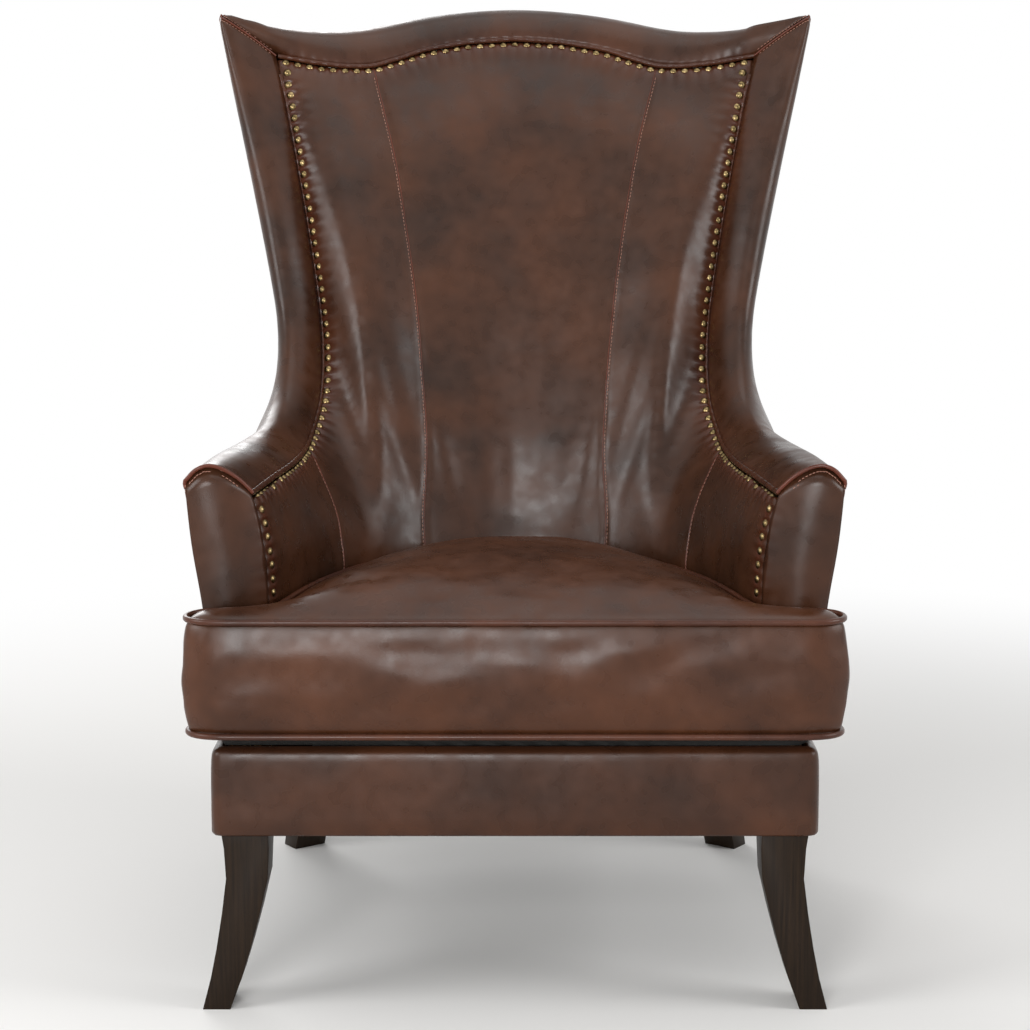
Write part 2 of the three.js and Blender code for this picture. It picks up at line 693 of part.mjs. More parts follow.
function cushionRing(out, starShare, level, swell = 0) {
  return cushionOutline.map((point, i) => {
    const full = point.y < earBackY - cushionClearance - notchRadius ? frontSwell : sideSwell;
    const base = point.clone().addScaledVector(cushionNormals[i], out + full * swell);
    return new THREE.Vector3(base.x * (1 - starShare), base.y + (starY - base.y) * starShare, level);
  });
}

// The crown rises with the distance to the nearest edge and levels off over the middle
const crownEdge = cushionRing(-grooveInset * 2, 0, boxingTop);
function crowned(point) {
  const nearest = new THREE.Vector3();
  const away = crownEdge.reduce((least, corner, i) => {
    new THREE.Line3(corner, crownEdge[(i + 1) % crownEdge.length]).closestPointToPoint(point, true, nearest);
    return Math.min(least, nearest.distanceTo(point));
  }, crownReach);
  return new THREE.Vector3(point.x, point.y, boxingTop + cushionCrown * (1 - (1 - away / crownReach) ** 2));
}

const crownShares = [0.06, 0.14, 0.26, 0.42, 0.6, 0.8];
const swellShares = [0.25, 0.5, 0.75];
const cushionRings = [
  cushionRing(-grooveInset * 2, undersideShare, cushionBottom),
  cushionRing(-grooveInset * 2, 0, cushionBottom),
  cushionRing(-grooveInset, 0, cushionBottom + weltRadius),
  cushionRing(0, 0, cushionBottom + grooveHeight),
  ...swellShares.map((share) => cushionRing(0, 0, cushionBottom + cushionThickness * share,
    Math.sin(Math.PI * share))),
  cushionRing(0, 0, boxingTop - grooveHeight),
  cushionRing(-grooveInset, 0, boxingTop - weltRadius),
  crownEdge,
  ...crownShares.map((share) => cushionRing(-grooveInset * 2, share, boxingTop).map(crowned)),
];
const cushionHubs = [new THREE.Vector3(0, starY, cushionBottom), crowned(new THREE.Vector3(0, starY, boxingTop))];
addPiece('seat_cushion', ringGeometry(cushionRings, false, cushionHubs), leather);

// Welts: a closed cord round the top and the bottom edge of the cushion
function weltGeometry(level) {
  return ringGeometry(cushionOutline.map((point, i) => {
    const out = new THREE.Vector3(cushionNormals[i].x, cushionNormals[i].y, 0);
    const centre = new THREE.Vector3(point.x, point.y, level).addScaledVector(out, weltProud);
    return stops(0, Math.PI * 2, 6).slice(0, -1).map((angle) => centre.clone()
      .addScaledVector(out, weltRadius * Math.cos(angle))
      .add(new THREE.Vector3(0, 0, weltRadius * Math.sin(angle))));
  }), true);
}

addPiece('cushion_bottom_welt', weltGeometry(cushionBottom + weltRadius), welting);
addPiece('cushion_top_welt', weltGeometry(boxingTop - weltRadius), welting);

// Zip along the arc at the back of the boxing, and the slider that runs on it
const zipRadius = seatArcRadius - cushionGap;
const zipLevel = cushionBottom + cushionThickness / 2;
function zipArc(from, to, steps, inner, outer, halfHeight) {
  return blockGeometry(stops(from, to, steps), [-halfHeight, halfHeight], [inner, outer],
    (angle, up, radius) => new THREE.Vector3(radius * Math.sin(angle),
      seatArcCentreY + radius * Math.cos(angle), zipLevel + up));
}

const zipSeat = zipRadius + sideSwell + clearance * 2;
addPiece('cushion_zip', zipArc(-zipSweep / 2, zipSweep / 2, 10, zipSeat, zipSeat + zipThickness,
  zipWidth / 2), cloth);
const sliderSeat = zipSeat + zipThickness + clearance;
const sliderSpan = zipSliderLength / sliderSeat;
addPiece('zip_slider', zipArc(-zipSweep / 2, -zipSweep / 2 + sliderSpan, 1, sliderSeat,
  sliderSeat + zipSliderThickness, zipSliderHeight / 2), brass);

// Front rail, its padded cover with a rolled lip, and the seat back rail
const lipRadius = 12;
const railFrontY = -frontRailReach + coverThickness + clearance;
const railBackY = railFrontY + frontRailThickness;
const railEndX = railX - coverThickness - lipRadius;
addPiece('front_rail', boxBetween([-railEndX, railFrontY, legHeight], [railEndX, railBackY,
  railTop - coverThickness]), frameWood);

const lipProfileShares = [[0, 0], [0, 0.88], [0.25, 0.965], [1, 1]];
function railCoverRing(point, out) {
  const top = railTop;
  const at = (inward, z) => new THREE.Vector3(point.x - out.x * inward, point.y - out.y * inward, z);
  const outer = lipProfileShares.map(([x, z]) => at(x * lipRadius, legHeight + z * (top - legHeight)));
  return [...outer, at(lipDepth, top), at(lipDepth, top - coverThickness + clearance),
    at(coverThickness, top - coverThickness + clearance), at(coverThickness, legHeight)];
}

const coverBackY = outerFoot(frontStation).y - clearance * 4;
const coverCorner = lipRadius * 1.5;
const cornerSteps = 4;
const coverPath = new THREE.Path();
coverPath.moveTo(railX, coverBackY);
coverPath.lineTo(railX, -frontRailReach + coverCorner);
coverPath.quadraticCurveTo(railX, -frontRailReach, railX - coverCorner, -frontRailReach);
coverPath.lineTo(-railX + coverCorner, -frontRailReach);
coverPath.quadraticCurveTo(-railX, -frontRailReach, -railX, -frontRailReach + coverCorner);
coverPath.lineTo(-railX, coverBackY);
const coverPoints = coverPath.getPoints(cornerSteps);
const coverRings = coverPoints.map((point, i) => {
  const before = coverPoints[Math.max(i - 1, 0)];
  const after = coverPoints[Math.min(i + 1, coverPoints.length - 1)];
  return railCoverRing(point, new THREE.Vector2(before.y - after.y, after.x - before.x).normalize());
});
addPiece('front_rail_cover', ringGeometry(coverRings), leather);

const seatBackRailHalf = outerAt(armSeamStation + 0.7, 0, railInsets[1]).x - clearance * 8;
const seatBackRailTop = railTop - springWire - clearance * 3;
addPiece('seat_back_rail', boxBetween([-seatBackRailHalf, seatBackRailY, legHeight],
  [seatBackRailHalf, seatBackRailY + seatBackRailThickness, seatBackRailTop]), frameWood);

// Sinuous springs from the front rail to the seat back rail, tied together by two cross wires
const springFront = -frontRailReach + lipDepth + clipWidth + clearance * 2;
const springBack = seatBackRailY + seatBackRailThickness / 2;
const springLevel = seatBackRailTop + clearance;
const half = springWire / 2;
function springGeometry(x) {
  const path = stops(springFront, springBack, springBends).map((y, i) => {
    const swing = i === 0 || i === springBends ? 0 : springAmplitude * (i % 2 === 0 ? 1 : -1);
    return new THREE.Vector3(x + swing, y, springLevel);
  });
  return ringGeometry(path.map((point) => [[-half, 0], [half, 0], [half, springWire], [-half, springWire]]
    .map(([dx, dz]) => new THREE.Vector3(point.x + dx, point.y, point.z + dz))));
}

const springReach = springPitch * (springCount - 1) / 2;
const crossWires = crossWireShares.map((share) => {
  const y = springFront + (springBack - springFront) * share;
  return boxBetween([-springReach, y - half, springLevel], [springReach, y + half, springLevel + springWire]);
});
const springSet = stops(-springReach, springReach, springCount - 1).map(springGeometry);
addPiece('seat_springs', join([...springSet, ...crossWires]), steel);

// Clip strips hold the ends of the springs on the two rails
for (const [name, end, sign] of [['front', springFront, -1], ['rear', springBack, 1]]) {
  const near = end + sign * clearance;
  const far = end + sign * (clearance + clipWidth);
  const reach = springReach + springPitch / 2;
  addPiece(`${name}_clip_strip`, boxBetween([-reach, Math.min(near, far), springLevel],
    [reach, Math.max(near, far), springLevel + springWire]), steel);
}

// Sabre leg: a flat blank cut to two curves, splaying along +X from its top centre at the origin
const legCurveShares = [0, 0.08, 0.25, 0.45, 0.65, 0.82, 1];
function legSplayAt(share) {
  return -legFootWidth * 0.12 * Math.sin(Math.PI * Math.min(share * 2, 1)) + legSplay * share ** 2;
}

function legHalfWidthAt(share) {
  return (legTopWidth + (legFootWidth - legTopWidth) * share) / 2;
}

function legGeometry() {
  const top = legHeight - clearance;
  const outline = (sign) => legCurveShares.map((share) => new THREE.Vector2(
    legSplayAt(share) + sign * legHalfWidthAt(share), top * (1 - share)));
  const shape = new THREE.Shape([...outline(1), ...outline(-1).reverse()]);
  const blank = clean(new THREE.ExtrudeGeometry(shape, { depth: legThickness, bevelEnabled: false }));
  return blank.rotateX(Math.PI / 2).translate(0, legThickness / 2, 0);
}

const frontLegX = railX - legTopWidth / 2 - legInset * 2;
const frontLegY = -frontRailReach + legInset + legThickness / 2;
const frontBoltY = railBackY + boltRadius + boltClearance + legInset;
const legPlaces = [
  { side: 'front', x: frontLegX, y: frontLegY, turn: 0, boltX: frontLegX, boltY: frontBoltY },
  { side: 'rear', x: rearLegX, y: rearLegY, turn: rearLegTurn, boltX: rearLegX - legInset,
    boltY: rearLegY - legInset },
];

// Corner blocks carry the legs; each leg hangs on a bolt that runs up into its block
for (const { side, x, y, turn, boltX, boltY } of legPlaces) {
  const leg = legGeometry().rotateZ(turn).translate(x, y, 0);
  const boltHole = clean(new THREE.CylinderGeometry(boltRadius + boltClearance, boltRadius + boltClearance,
    boltDepth * 2 + clearance * 4, boltSides));
  boltHole.rotateX(Math.PI / 2).translate(boltX, boltY, legHeight);
  const bolt = clean(new THREE.CylinderGeometry(boltRadius, boltRadius, boltDepth * 2, boltSides));
  bolt.rotateX(Math.PI / 2).translate(boltX, boltY, legHeight);
  const cutLeg = cut(leg, [boltHole]);
  const block = side === 'front'
    ? boxBetween([boltX - cornerBlockLength / 2, railBackY + clearance, legHeight],
      [outerAt(frontStation, 0, railInsets[1]).x - clearance * 4, -armFrontReach + cornerBlockLength / 2,
        railTop - coverThickness])
    : boxBetween([boltX - cornerBlockLength / 2, boltY - cornerBlockLength / 2, legHeight],
      [boltX + cornerBlockLength / 8, boltY + cornerBlockLength / 8, railTop - coverThickness]);
  const cutBlock = cut(block, [boltHole]);
  addPiece(`right_${side}_leg`, cutLeg, darkWood);
  addPiece(`left_${side}_leg`, mirrored(cutLeg), darkWood);
  addPiece(`right_${side}_block`, cutBlock, frameWood);
  addPiece(`left_${side}_block`, mirrored(cutBlock), frameWood);
  addPiece(`right_${side}_bolt`, bolt, steel);
  addPiece(`left_${side}_bolt`, mirrored(bolt), steel);
}

// Dust cover stapled under the rails, cut clear of the legs
const dustHalf = [];
for (let station = 0; station <= frontStation; station += 1) {
  const point = outerAt(station, 0, dustCoverInset);
  dustHalf.push(new THREE.Vector2(point.x, point.y));
}
dustHalf.push(new THREE.Vector2(railX - dustCoverInset, -frontRailReach + dustCoverInset));
const dustLeft = dustHalf.slice(1).reverse().map((point) => new THREE.Vector2(-point.x, point.y));
const dustShape = new THREE.Shape([...dustHalf, ...dustLeft]);
const dustSheet = clean(new THREE.ExtrudeGeometry(dustShape, { depth: dustCoverThickness, bevelEnabled: false }));
dustSheet.translate(0, 0, legHeight - clearance - dustCoverThickness);
const legWindows = legPlaces.flatMap(({ x, y, turn }) => {
  const margin = clearance * 5;
  const window = boxBetween([-legTopWidth / 2 - margin, -legThickness / 2 - margin, legHeight / 2],
    [legTopWidth / 2 + margin, legThickness / 2 + margin, legHeight + margin]);
  window.rotateZ(turn).translate(x, y, 0);
  return [window, mirrored(window)];
});
addPiece('dust_cover', cut(dustSheet, legWindows), cloth);

export default chair;
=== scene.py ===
import math

import bpy
from mathutils import Matrix, Vector, noise
from mathutils.bvhtree import BVHTree
from mathutils.kdtree import KDTree


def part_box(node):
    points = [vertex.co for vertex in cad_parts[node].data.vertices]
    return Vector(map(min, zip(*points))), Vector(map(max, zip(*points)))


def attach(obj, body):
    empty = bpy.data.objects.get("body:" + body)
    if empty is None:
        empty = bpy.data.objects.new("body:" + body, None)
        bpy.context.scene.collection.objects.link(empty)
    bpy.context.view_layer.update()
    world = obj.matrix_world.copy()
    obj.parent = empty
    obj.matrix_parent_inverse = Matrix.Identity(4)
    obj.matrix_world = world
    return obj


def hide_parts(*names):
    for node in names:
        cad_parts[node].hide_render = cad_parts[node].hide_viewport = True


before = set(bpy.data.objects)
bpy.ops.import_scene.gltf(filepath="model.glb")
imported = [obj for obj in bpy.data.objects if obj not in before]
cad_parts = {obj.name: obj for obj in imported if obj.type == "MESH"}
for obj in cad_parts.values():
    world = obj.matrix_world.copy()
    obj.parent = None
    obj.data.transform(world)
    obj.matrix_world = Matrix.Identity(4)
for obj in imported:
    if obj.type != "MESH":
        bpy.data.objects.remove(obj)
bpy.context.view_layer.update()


# The room is a pale floor under a white sky. The camera stands in front of the chair, a little above
# its arms, and looks slightly down, so that the whole chair fills the height of the frame.
def deselect():
    if bpy.context.object and bpy.context.object.mode != "OBJECT":
        bpy.ops.object.mode_set(mode="OBJECT")
    bpy.ops.object.select_all(action="DESELECT")


def activate(piece):
    deselect()
    piece.select_set(True)
    bpy.context.view_layer.objects.active = piece


def edit_all(operator, **settings):
    """Runs a mesh operator on the whole of the active piece."""
    bpy.ops.object.mode_set(mode="EDIT")
    bpy.ops.mesh.select_all(action="SELECT")
    operator(**settings)
    bpy.ops.object.mode_set(mode="OBJECT")


def srgb(value):
    """A colour written as sRGB hex, in linear light."""
    parts = [(value >> shift & 255) / 255 for shift in (16, 8, 0)]
    return (*[p / 12.92 if p <= 0.04045 else ((p + 0.055) / 1.055) ** 2.4 for p in parts], 1)


def add_node(tree, kind, values=None, links=None, **properties):
    """Adds a node with its own properties, the values of its sockets and what feeds them."""
    node = tree.nodes.new(kind)
    for name, value in properties.items():
        setattr(node, name, value)
    for socket, value in (values or {}).items():
        node.inputs[socket].default_value = value
    for socket, source in (links or {}).items():
        tree.links.new(source, node.inputs[socket])
    return node


scene = bpy.context.scene
scene.view_settings.view_transform = "Standard"
eye = Vector((0, -2.5785, 0.861))
target = Vector((0, -0.05, 0.492))
focal_length = 73.5  # in millimetres, as the sensor's width is
sensor_width = 36
bpy.ops.object.camera_add(location=eye)
camera = bpy.context.object
camera.rotation_euler = (target - eye).to_track_quat("-Z", "Y").to_euler()
camera.data.lens = focal_length
camera.data.sensor_width = sensor_width
scene.camera = camera

floor_width = 14
fade_start, fade_end = 0.9, 2.4
deselect()
bpy.ops.mesh.primitive_plane_add(size=floor_width)
floor = bpy.context.object
floor.name = "floor"
painted = bpy.data.materials.new("matt_painted_studio_floor")
painted.use_nodes = True
paint = painted.node_tree
paint.nodes["Principled BSDF"].inputs["Base Color"].default_value = srgb(0xF0EFED)
paint.nodes["Principled BSDF"].inputs["Roughness"].default_value = 0.9
floor.data.materials.append(painted)


def seen_directly(tree):
    """One where a camera, glossy or transmitted ray looks, and nothing where light only bounces."""
    ray = add_node(tree, "ShaderNodeLightPath")
    seen = ray.outputs["Is Camera Ray"]
    for kind in ("Is Glossy Ray", "Is Transmission Ray"):
        seen = add_node(tree, "ShaderNodeMath", links={0: seen, 1: ray.outputs[kind]},
                        operation="MAXIMUM").outputs[0]
    return seen


# Past the chair's shadow the paint fades into the white sky, as on a curved studio backdrop
spot = add_node(paint, "ShaderNodeTexCoord").outputs["Object"]
away = add_node(paint, "ShaderNodeVectorMath", links={0: spot}, operation="LENGTH")
fading = add_node(paint, "ShaderNodeMapRange", {"From Min": fade_start, "From Max": fade_end},
                  {"Value": away.outputs["Value"]}, interpolation_type="SMOOTHSTEP")
fade_out = add_node(paint, "ShaderNodeMath", links={0: fading.outputs[0], 1: seen_directly(paint)},
                    operation="MULTIPLY")
glow = add_node(paint, "ShaderNodeEmission", {"Color": srgb(0xFFFFFF), "Strength": 1.0})
backdrop = add_node(paint, "ShaderNodeMixShader", links={0: fade_out.outputs[0],
                    1: paint.nodes["Principled BSDF"].outputs[0], 2: glow.outputs[0]})
paint.links.new(backdrop.outputs[0], paint.nodes["Material Output"].inputs["Surface"])

world = bpy.data.worlds.new("white_sky")
world.use_nodes = True
scene.world = world
sky = world.node_tree
dim = add_node(sky, "ShaderNodeBackground", {"Color": srgb(0xFFFFFF), "Strength": 0.28})
white = add_node(sky, "ShaderNodeBackground", {"Color": srgb(0xFFFFFF), "Strength": 1.0})
shown = add_node(sky, "ShaderNodeMixShader", links={0: seen_directly(sky), 1: dim.outputs[0],
                                                     2: white.outputs[0]})
sky.links.new(shown.outputs[0], sky.nodes["World Output"].inputs["Surface"])

# Each softbox has its place, its width and its power in watts, and faces the middle of the chair
chair_middle = Vector((0, 0, 0.6))
lamps = {
    "left_softbox": ((-2.6, -1.4, 1.8), 1.4, 38),
    "right_softbox": ((2.6, -0.9, 1.6), 1.2, 30),
    "front_softbox": ((-0.7, -3.9, 1.4), 1.6, 92),
    "ceiling_softbox": ((0.2, -0.2, 3.0), 1.8, 12),
    "back_softbox": ((-1.2, 2.8, 2.0), 1.8, 40),
}
for name, (place, width, power) in lamps.items():
    bpy.ops.object.light_add(type="AREA", location=place)
    lamp = bpy.context.object
    lamp.name = name
    lamp.data.size = width
    lamp.data.energy = power
    lamp.rotation_euler = (chair_middle - Vector(place)).to_track_quat("-Z", "Y").to_euler()


# Outside covers: three panels of chrome-tanned cowhide, pulled tight over the frame and nailed.
# Antiqued top-grain leather is dyed through, waxed dark and rubbed back, so it is mottled and glossy,
# with a redder worn edge along each nail row, where it also puckers between the heads.
MM = 0.001
nail_pitch = 15.5 * MM
nail_width = 9.5 * MM
nail_rise = 3.2 * MM
nail_reach = 50 * MM
nail_turn = 8 * MM  # how far the pull of a nail reaches into the hide
pucker_wave = 1.1 * MM
pucker_sink = 1.6 * MM
mottle_size = 90 * MM
rub_size = 20 * MM
grain_size = 2.2 * MM  # real pebbles are about 1.2 mm, too fine to show here
grain_depth = 0.02 * MM
crease_size, crease_depth = 45 * MM, 0.7 * MM
sway_size, sway_depth = 130 * MM, 5 * MM


def new_finish(name):
    """A new material, with its tree, its shader and the place on the piece that its patterns follow."""
    material = bpy.data.materials.new(name)
    material.use_nodes = True
    tree = material.node_tree
    place = add_node(tree, "ShaderNodeTexCoord").outputs["Object"]
    return material, tree, tree.nodes["Principled BSDF"], place


def two_tone(tree, dark, light, share, roughness, metallic=0.0):
    """Colours a finish from dark to light by the share that a pattern gives, with one roughness."""
    shader = tree.nodes["Principled BSDF"]
    tone = add_node(tree, "ShaderNodeMix", {"A": srgb(dark), "B": srgb(light)}, {"Factor": share},
                    data_type="RGBA")
    tree.links.new(tone.outputs["Result"], shader.inputs["Base Color"])
    shader.inputs["Roughness"].default_value = roughness
    shader.inputs["Metallic"].default_value = metallic


def antiqued_leather(name, deep, warm, worn, nailed=True):
    """Hide in a deep and a warm brown, worn to a third one along the nail rows where it is nailed."""
    material, tree, shader, place = new_finish(name)
    cloud = add_node(tree, "ShaderNodeTexNoise", {"Scale": 1 / mottle_size, "Detail": 3, "Roughness": 0.45,
                     "Distortion": 0.2}, {"Vector": place})
    rubbed = add_node(tree, "ShaderNodeTexNoise", {"Scale": 1 / rub_size, "Detail": 1, "Roughness": 0.5},
                      {"Vector": place})
    blend = add_node(tree, "ShaderNodeMath", {1: 0.2}, {0: rubbed.outputs["Fac"], 2: cloud.outputs["Fac"]},
                     operation="MULTIPLY_ADD")
    share = add_node(tree, "ShaderNodeMapRange", {"From Min": 0.38, "From Max": 0.82},
                     {"Value": blend.outputs[0]})
    colour = add_node(tree, "ShaderNodeMix", {"A": srgb(deep), "B": srgb(warm)},
                      {"Factor": share.outputs[0]}, data_type="RGBA")

    cells = add_node(tree, "ShaderNodeTexVoronoi", {"Scale": 1 / grain_size}, {"Vector": place},
                     feature="DISTANCE_TO_EDGE")
    grain = add_node(tree, "ShaderNodeMapRange", {"From Max": 0.3}, {"Value": cells.outputs["Distance"]},
                     interpolation_type="SMOOTHSTEP")
    crease = add_node(tree, "ShaderNodeTexNoise", {"Scale": 1 / crease_size, "Detail": 1, "Distortion": 0.5},
                      {"Vector": place})
    sway = add_node(tree, "ShaderNodeTexNoise", {"Scale": 1 / sway_size, "Detail": 1}, {"Vector": place})
    height = add_node(tree, "ShaderNodeMath", {1: grain_depth}, {0: grain.outputs[0]},
                      operation="MULTIPLY")
    for source, depth in ((crease, crease_depth), (sway, sway_depth)):
        height = add_node(tree, "ShaderNodeMath", {1: depth}, {0: source.outputs["Fac"],
                          2: height.outputs[0]}, operation="MULTIPLY_ADD")

    result = colour.outputs["Result"]
    if nailed:
        rows = add_node(tree, "ShaderNodeUVMap", uv_map="nail_rows")
        axes = add_node(tree, "ShaderNodeSeparateXYZ", links={"Vector": rows.outputs["UV"]})
        turn = add_node(tree, "ShaderNodeMath", {1: 2 * math.pi}, {0: axes.outputs["X"]},
                        operation="MULTIPLY")
        wave = add_node(tree, "ShaderNodeMath", links={0: turn.outputs[0]}, operation="COSINE")
        fade = add_node(tree, "ShaderNodeMath", {1: -1 / nail_turn}, {0: axes.outputs["Y"]},
                        operation="MULTIPLY")
        near = add_node(tree, "ShaderNodeMath", links={0: fade.outputs[0]}, operation="EXPONENT")
        pucker = add_node(tree, "ShaderNodeMath", links={0: wave.outputs[0], 1: near.outputs[0]},
                          operation="MULTIPLY")
        height = add_node(tree, "ShaderNodeMath", {1: -pucker_wave}, {0: pucker.outputs[0],
                          2: height.outputs[0]}, operation="MULTIPLY_ADD")
        height = add_node(tree, "ShaderNodeMath", {1: -pucker_sink}, {0: near.outputs[0],
                          2: height.outputs[0]}, operation="MULTIPLY_ADD")
        edge = add_node(tree, "ShaderNodeMath", {1: 0.45}, {0: near.outputs[0]}, operation="MULTIPLY")
        result = add_node(tree, "ShaderNodeMix", {"B": srgb(worn)}, {"Factor": edge.outputs[0], "A": result},
                          data_type="RGBA").outputs["Result"]
    tree.links.new(result, shader.inputs["Base Color"])

    gloss = add_node(tree, "ShaderNodeMapRange", {"From Min": 0.3, "From Max": 0.7, "To Min": 0.24,
                     "To Max": 0.4}, {"Value": rubbed.outputs["Fac"]})
    tree.links.new(gloss.outputs[0], shader.inputs["Roughness"])
    bump = add_node(tree, "ShaderNodeBump", {"Distance": 1.0, "Strength": 1.0}, {"Height": height.outputs[0]})
    tree.links.new(bump.outputs[0], shader.inputs["Normal"])
    shader.inputs["Specular IOR Level"].default_value = 0.28
    return material


cowhide = antiqued_leather("antiqued_top_grain_cowhide", 0x2B190F, 0x462817, 0x5A2718)


def cad_copy(node, name):
    """A CAD node's mesh as a new welded piece of four-sided faces."""
    deselect()
    piece = bpy.data.objects.new(name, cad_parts[node].data.copy())
    bpy.context.collection.objects.link(piece)
    piece.data.materials.clear()
    activate(piece)
    bpy.ops.object.mode_set(mode="EDIT")
    bpy.ops.mesh.select_all(action="SELECT")
    bpy.ops.mesh.remove_doubles(threshold=0.02 * MM)
    bpy.ops.mesh.tris_convert_to_quads(face_threshold=math.radians(50), shape_threshold=math.radians(80))
    bpy.ops.object.mode_set(mode="OBJECT")
    return piece


def smooth_over(piece, levels, crease, angle=50):
    """Creases the sharp rims of a piece and rounds the rest with a subdivision surface."""
    activate(piece)
    bpy.ops.object.mode_set(mode="EDIT")
    bpy.ops.mesh.select_all(action="DESELECT")
    bpy.ops.mesh.edges_select_sharp(sharpness=math.radians(angle))
    bpy.ops.transform.edge_crease(value=crease)
    bpy.ops.object.mode_set(mode="OBJECT")
    rounding = piece.modifiers.new("rounding", "SUBSURF")
    rounding.levels = rounding.render_levels = levels
    bpy.ops.object.modifier_apply(modifier=rounding.name)
    bpy.ops.object.shade_smooth()


def nail_heads(node):
    """The heads on a CAD nail strip, in order along it: where each foot stands and which way is out."""
    strip = cad_copy(node, "strip")
    points = [vertex.co.copy() for vertex in strip.data.vertices]
    bpy.data.objects.remove(strip)
    tree = KDTree(len(points))
    for i, point in enumerate(points):
        tree.insert(point, i)
    tree.balance()
    slack = 0.03 * MM
    heads = []
    for i, left in enumerate(points):
        for right, j, width in tree.find_range(left, nail_width + slack):
            if j <= i or abs(width - nail_width) > slack:
                continue
            foot = (left + right) / 2
            for crown, _, rise in tree.find_range(foot, nail_rise + slack):
                centred = abs((crown - left).length - (crown - right).length) < slack
                if centred and abs(rise - nail_rise) < slack:
                    heads.append((foot, (crown - foot).normalized()))
    if "back" in node:
        order = [max(heads, key=lambda head: head[0].x)]
    else:
        order = [max(heads, key=lambda head: (round(head[0].z, 4), head[0].x))]
    left_over = [head for head in heads if head is not order[0]]
    while left_over:
        following = min(left_over, key=lambda head: (head[0] - order[-1][0]).length)
        left_over.remove(following)
        order.append(following)
    return order


nail_strips = ["outer_back_nails", "inner_back_nails", "right_outer_nails", "left_outer_nails",
               "right_inner_nails", "left_inner_nails"]
nails = {strip: nail_heads(strip) for strip in nail_strips}


def surface_of(*pieces):
    """One search tree over the faces of several pieces."""
    points, faces = [], []
    for piece in pieces:
        start = len(points)
        points += [vertex.co.copy() for vertex in piece.data.vertices]
        faces += [[start + i for i in face.vertices] for face in piece.data.polygons]
    return BVHTree.FromPolygons(points, faces)


# The rows go on down both edges of each arm front, to the seat cushion and to the front rail
inner_row_foot, outer_row_foot = 0.43, 0.3
outer_start = 0.5  # outside the chair, from where the outer rows are cast onto the arm
front_inset = 3 * MM
for side, sign in (("right", 1), ("left", -1)):
    for face, panel, start, sense, row_foot in (
            ("inner", "inside_arm", 0, sign, inner_row_foot),
            ("outer", "outside_arm", outer_start * sign, -sign, outer_row_foot)):
        hide = surface_of(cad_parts[f"{side}_{panel}"])
        corner = nails[f"{side}_{face}_nails"][-1][0]
        row, level = [], corner.z - nail_pitch
        while level > row_foot:
            origin = Vector((start, corner.y - front_inset, level))
            found = hide.ray_cast(origin, Vector((sense, 0, 0)))[0]
            row.append((found, Vector((-sense, 0, 0))))
            level -= nail_pitch
        nails[f"{side}_{face}_front_nails"] = row

# At the wing tips a few more nails close the corner between the rows of the back and of the side
for side in ("right", "left"):
    for face in ("inner", "outer"):
        start, out = nails[f"{side}_{face}_nails"][0]
        row_ends = (nails[f"{face}_back_nails"][i][0] for i in (0, -1))
        end = min(row_ends, key=lambda foot: (foot - start).length)
        count = round((end - start).length / nail_pitch)
        row = [(start.lerp(end, i / count), out) for i in range(1, count)]
        nails[f"{side}_{face}_corner_nails"] = row


def map_nail_rows(piece):
    """Gives a piece its UV map for puckers: x counts nails along the nearest row, y is the distance to it.
    Returns the same for each point."""
    spans = [(row[i][0], row[i + 1][0], i) for row in nails.values() for i in range(len(row) - 1)]
    middles = KDTree(len(spans))
    for i, (start, end, _) in enumerate(spans):
        middles.insert((start + end) / 2, i)
    middles.balance()

    def measure(point, i):
        start, end, count = spans[i]
        along = end - start
        share = (point - start).dot(along) / along.length_squared
        return count + share, (point - start - along * min(max(share, 0), 1)).length

    far_away = (0.0, 9.0)
    reach = [far_away] * len(piece.data.vertices)
    layer = piece.data.uv_layers.new(name="nail_rows")
    for face in piece.data.polygons:
        beside = middles.find(face.center)[2] < nail_reach
        if beside:  # all corners of a face follow one row, so that no face spans a jump from row to row
            nearest = middles.find_n(face.center, 3)
            row = min(nearest, key=lambda found: measure(face.center, found[1])[1])[1]
        for loop in face.loop_indices:
            corner = piece.data.loops[loop].vertex_index
            layer.data[loop].uv = measure(piece.data.vertices[corner].co, row) if beside else far_away
            if beside:
                reach[corner] = tuple(layer.data[loop].uv)
    return reach


def dress(piece, material, slot, body, *nodes):
    """Gives a finished piece its material and its place in the model. Its slot is not used."""
    piece.data.materials.clear()
    piece.data.materials.append(material)
    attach(piece, body)
    if nodes:
        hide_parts(*nodes)


covers = {}
for node in ("outside_back", "right_outside_arm", "left_outside_arm"):
    cover = cad_copy(node, f"{node}_cover")
    smooth_over(cover, 2, 0.85)
    map_nail_rows(cover)
    dress(cover, cowhide, "leather", "chair", node)
    covers[node] = cover


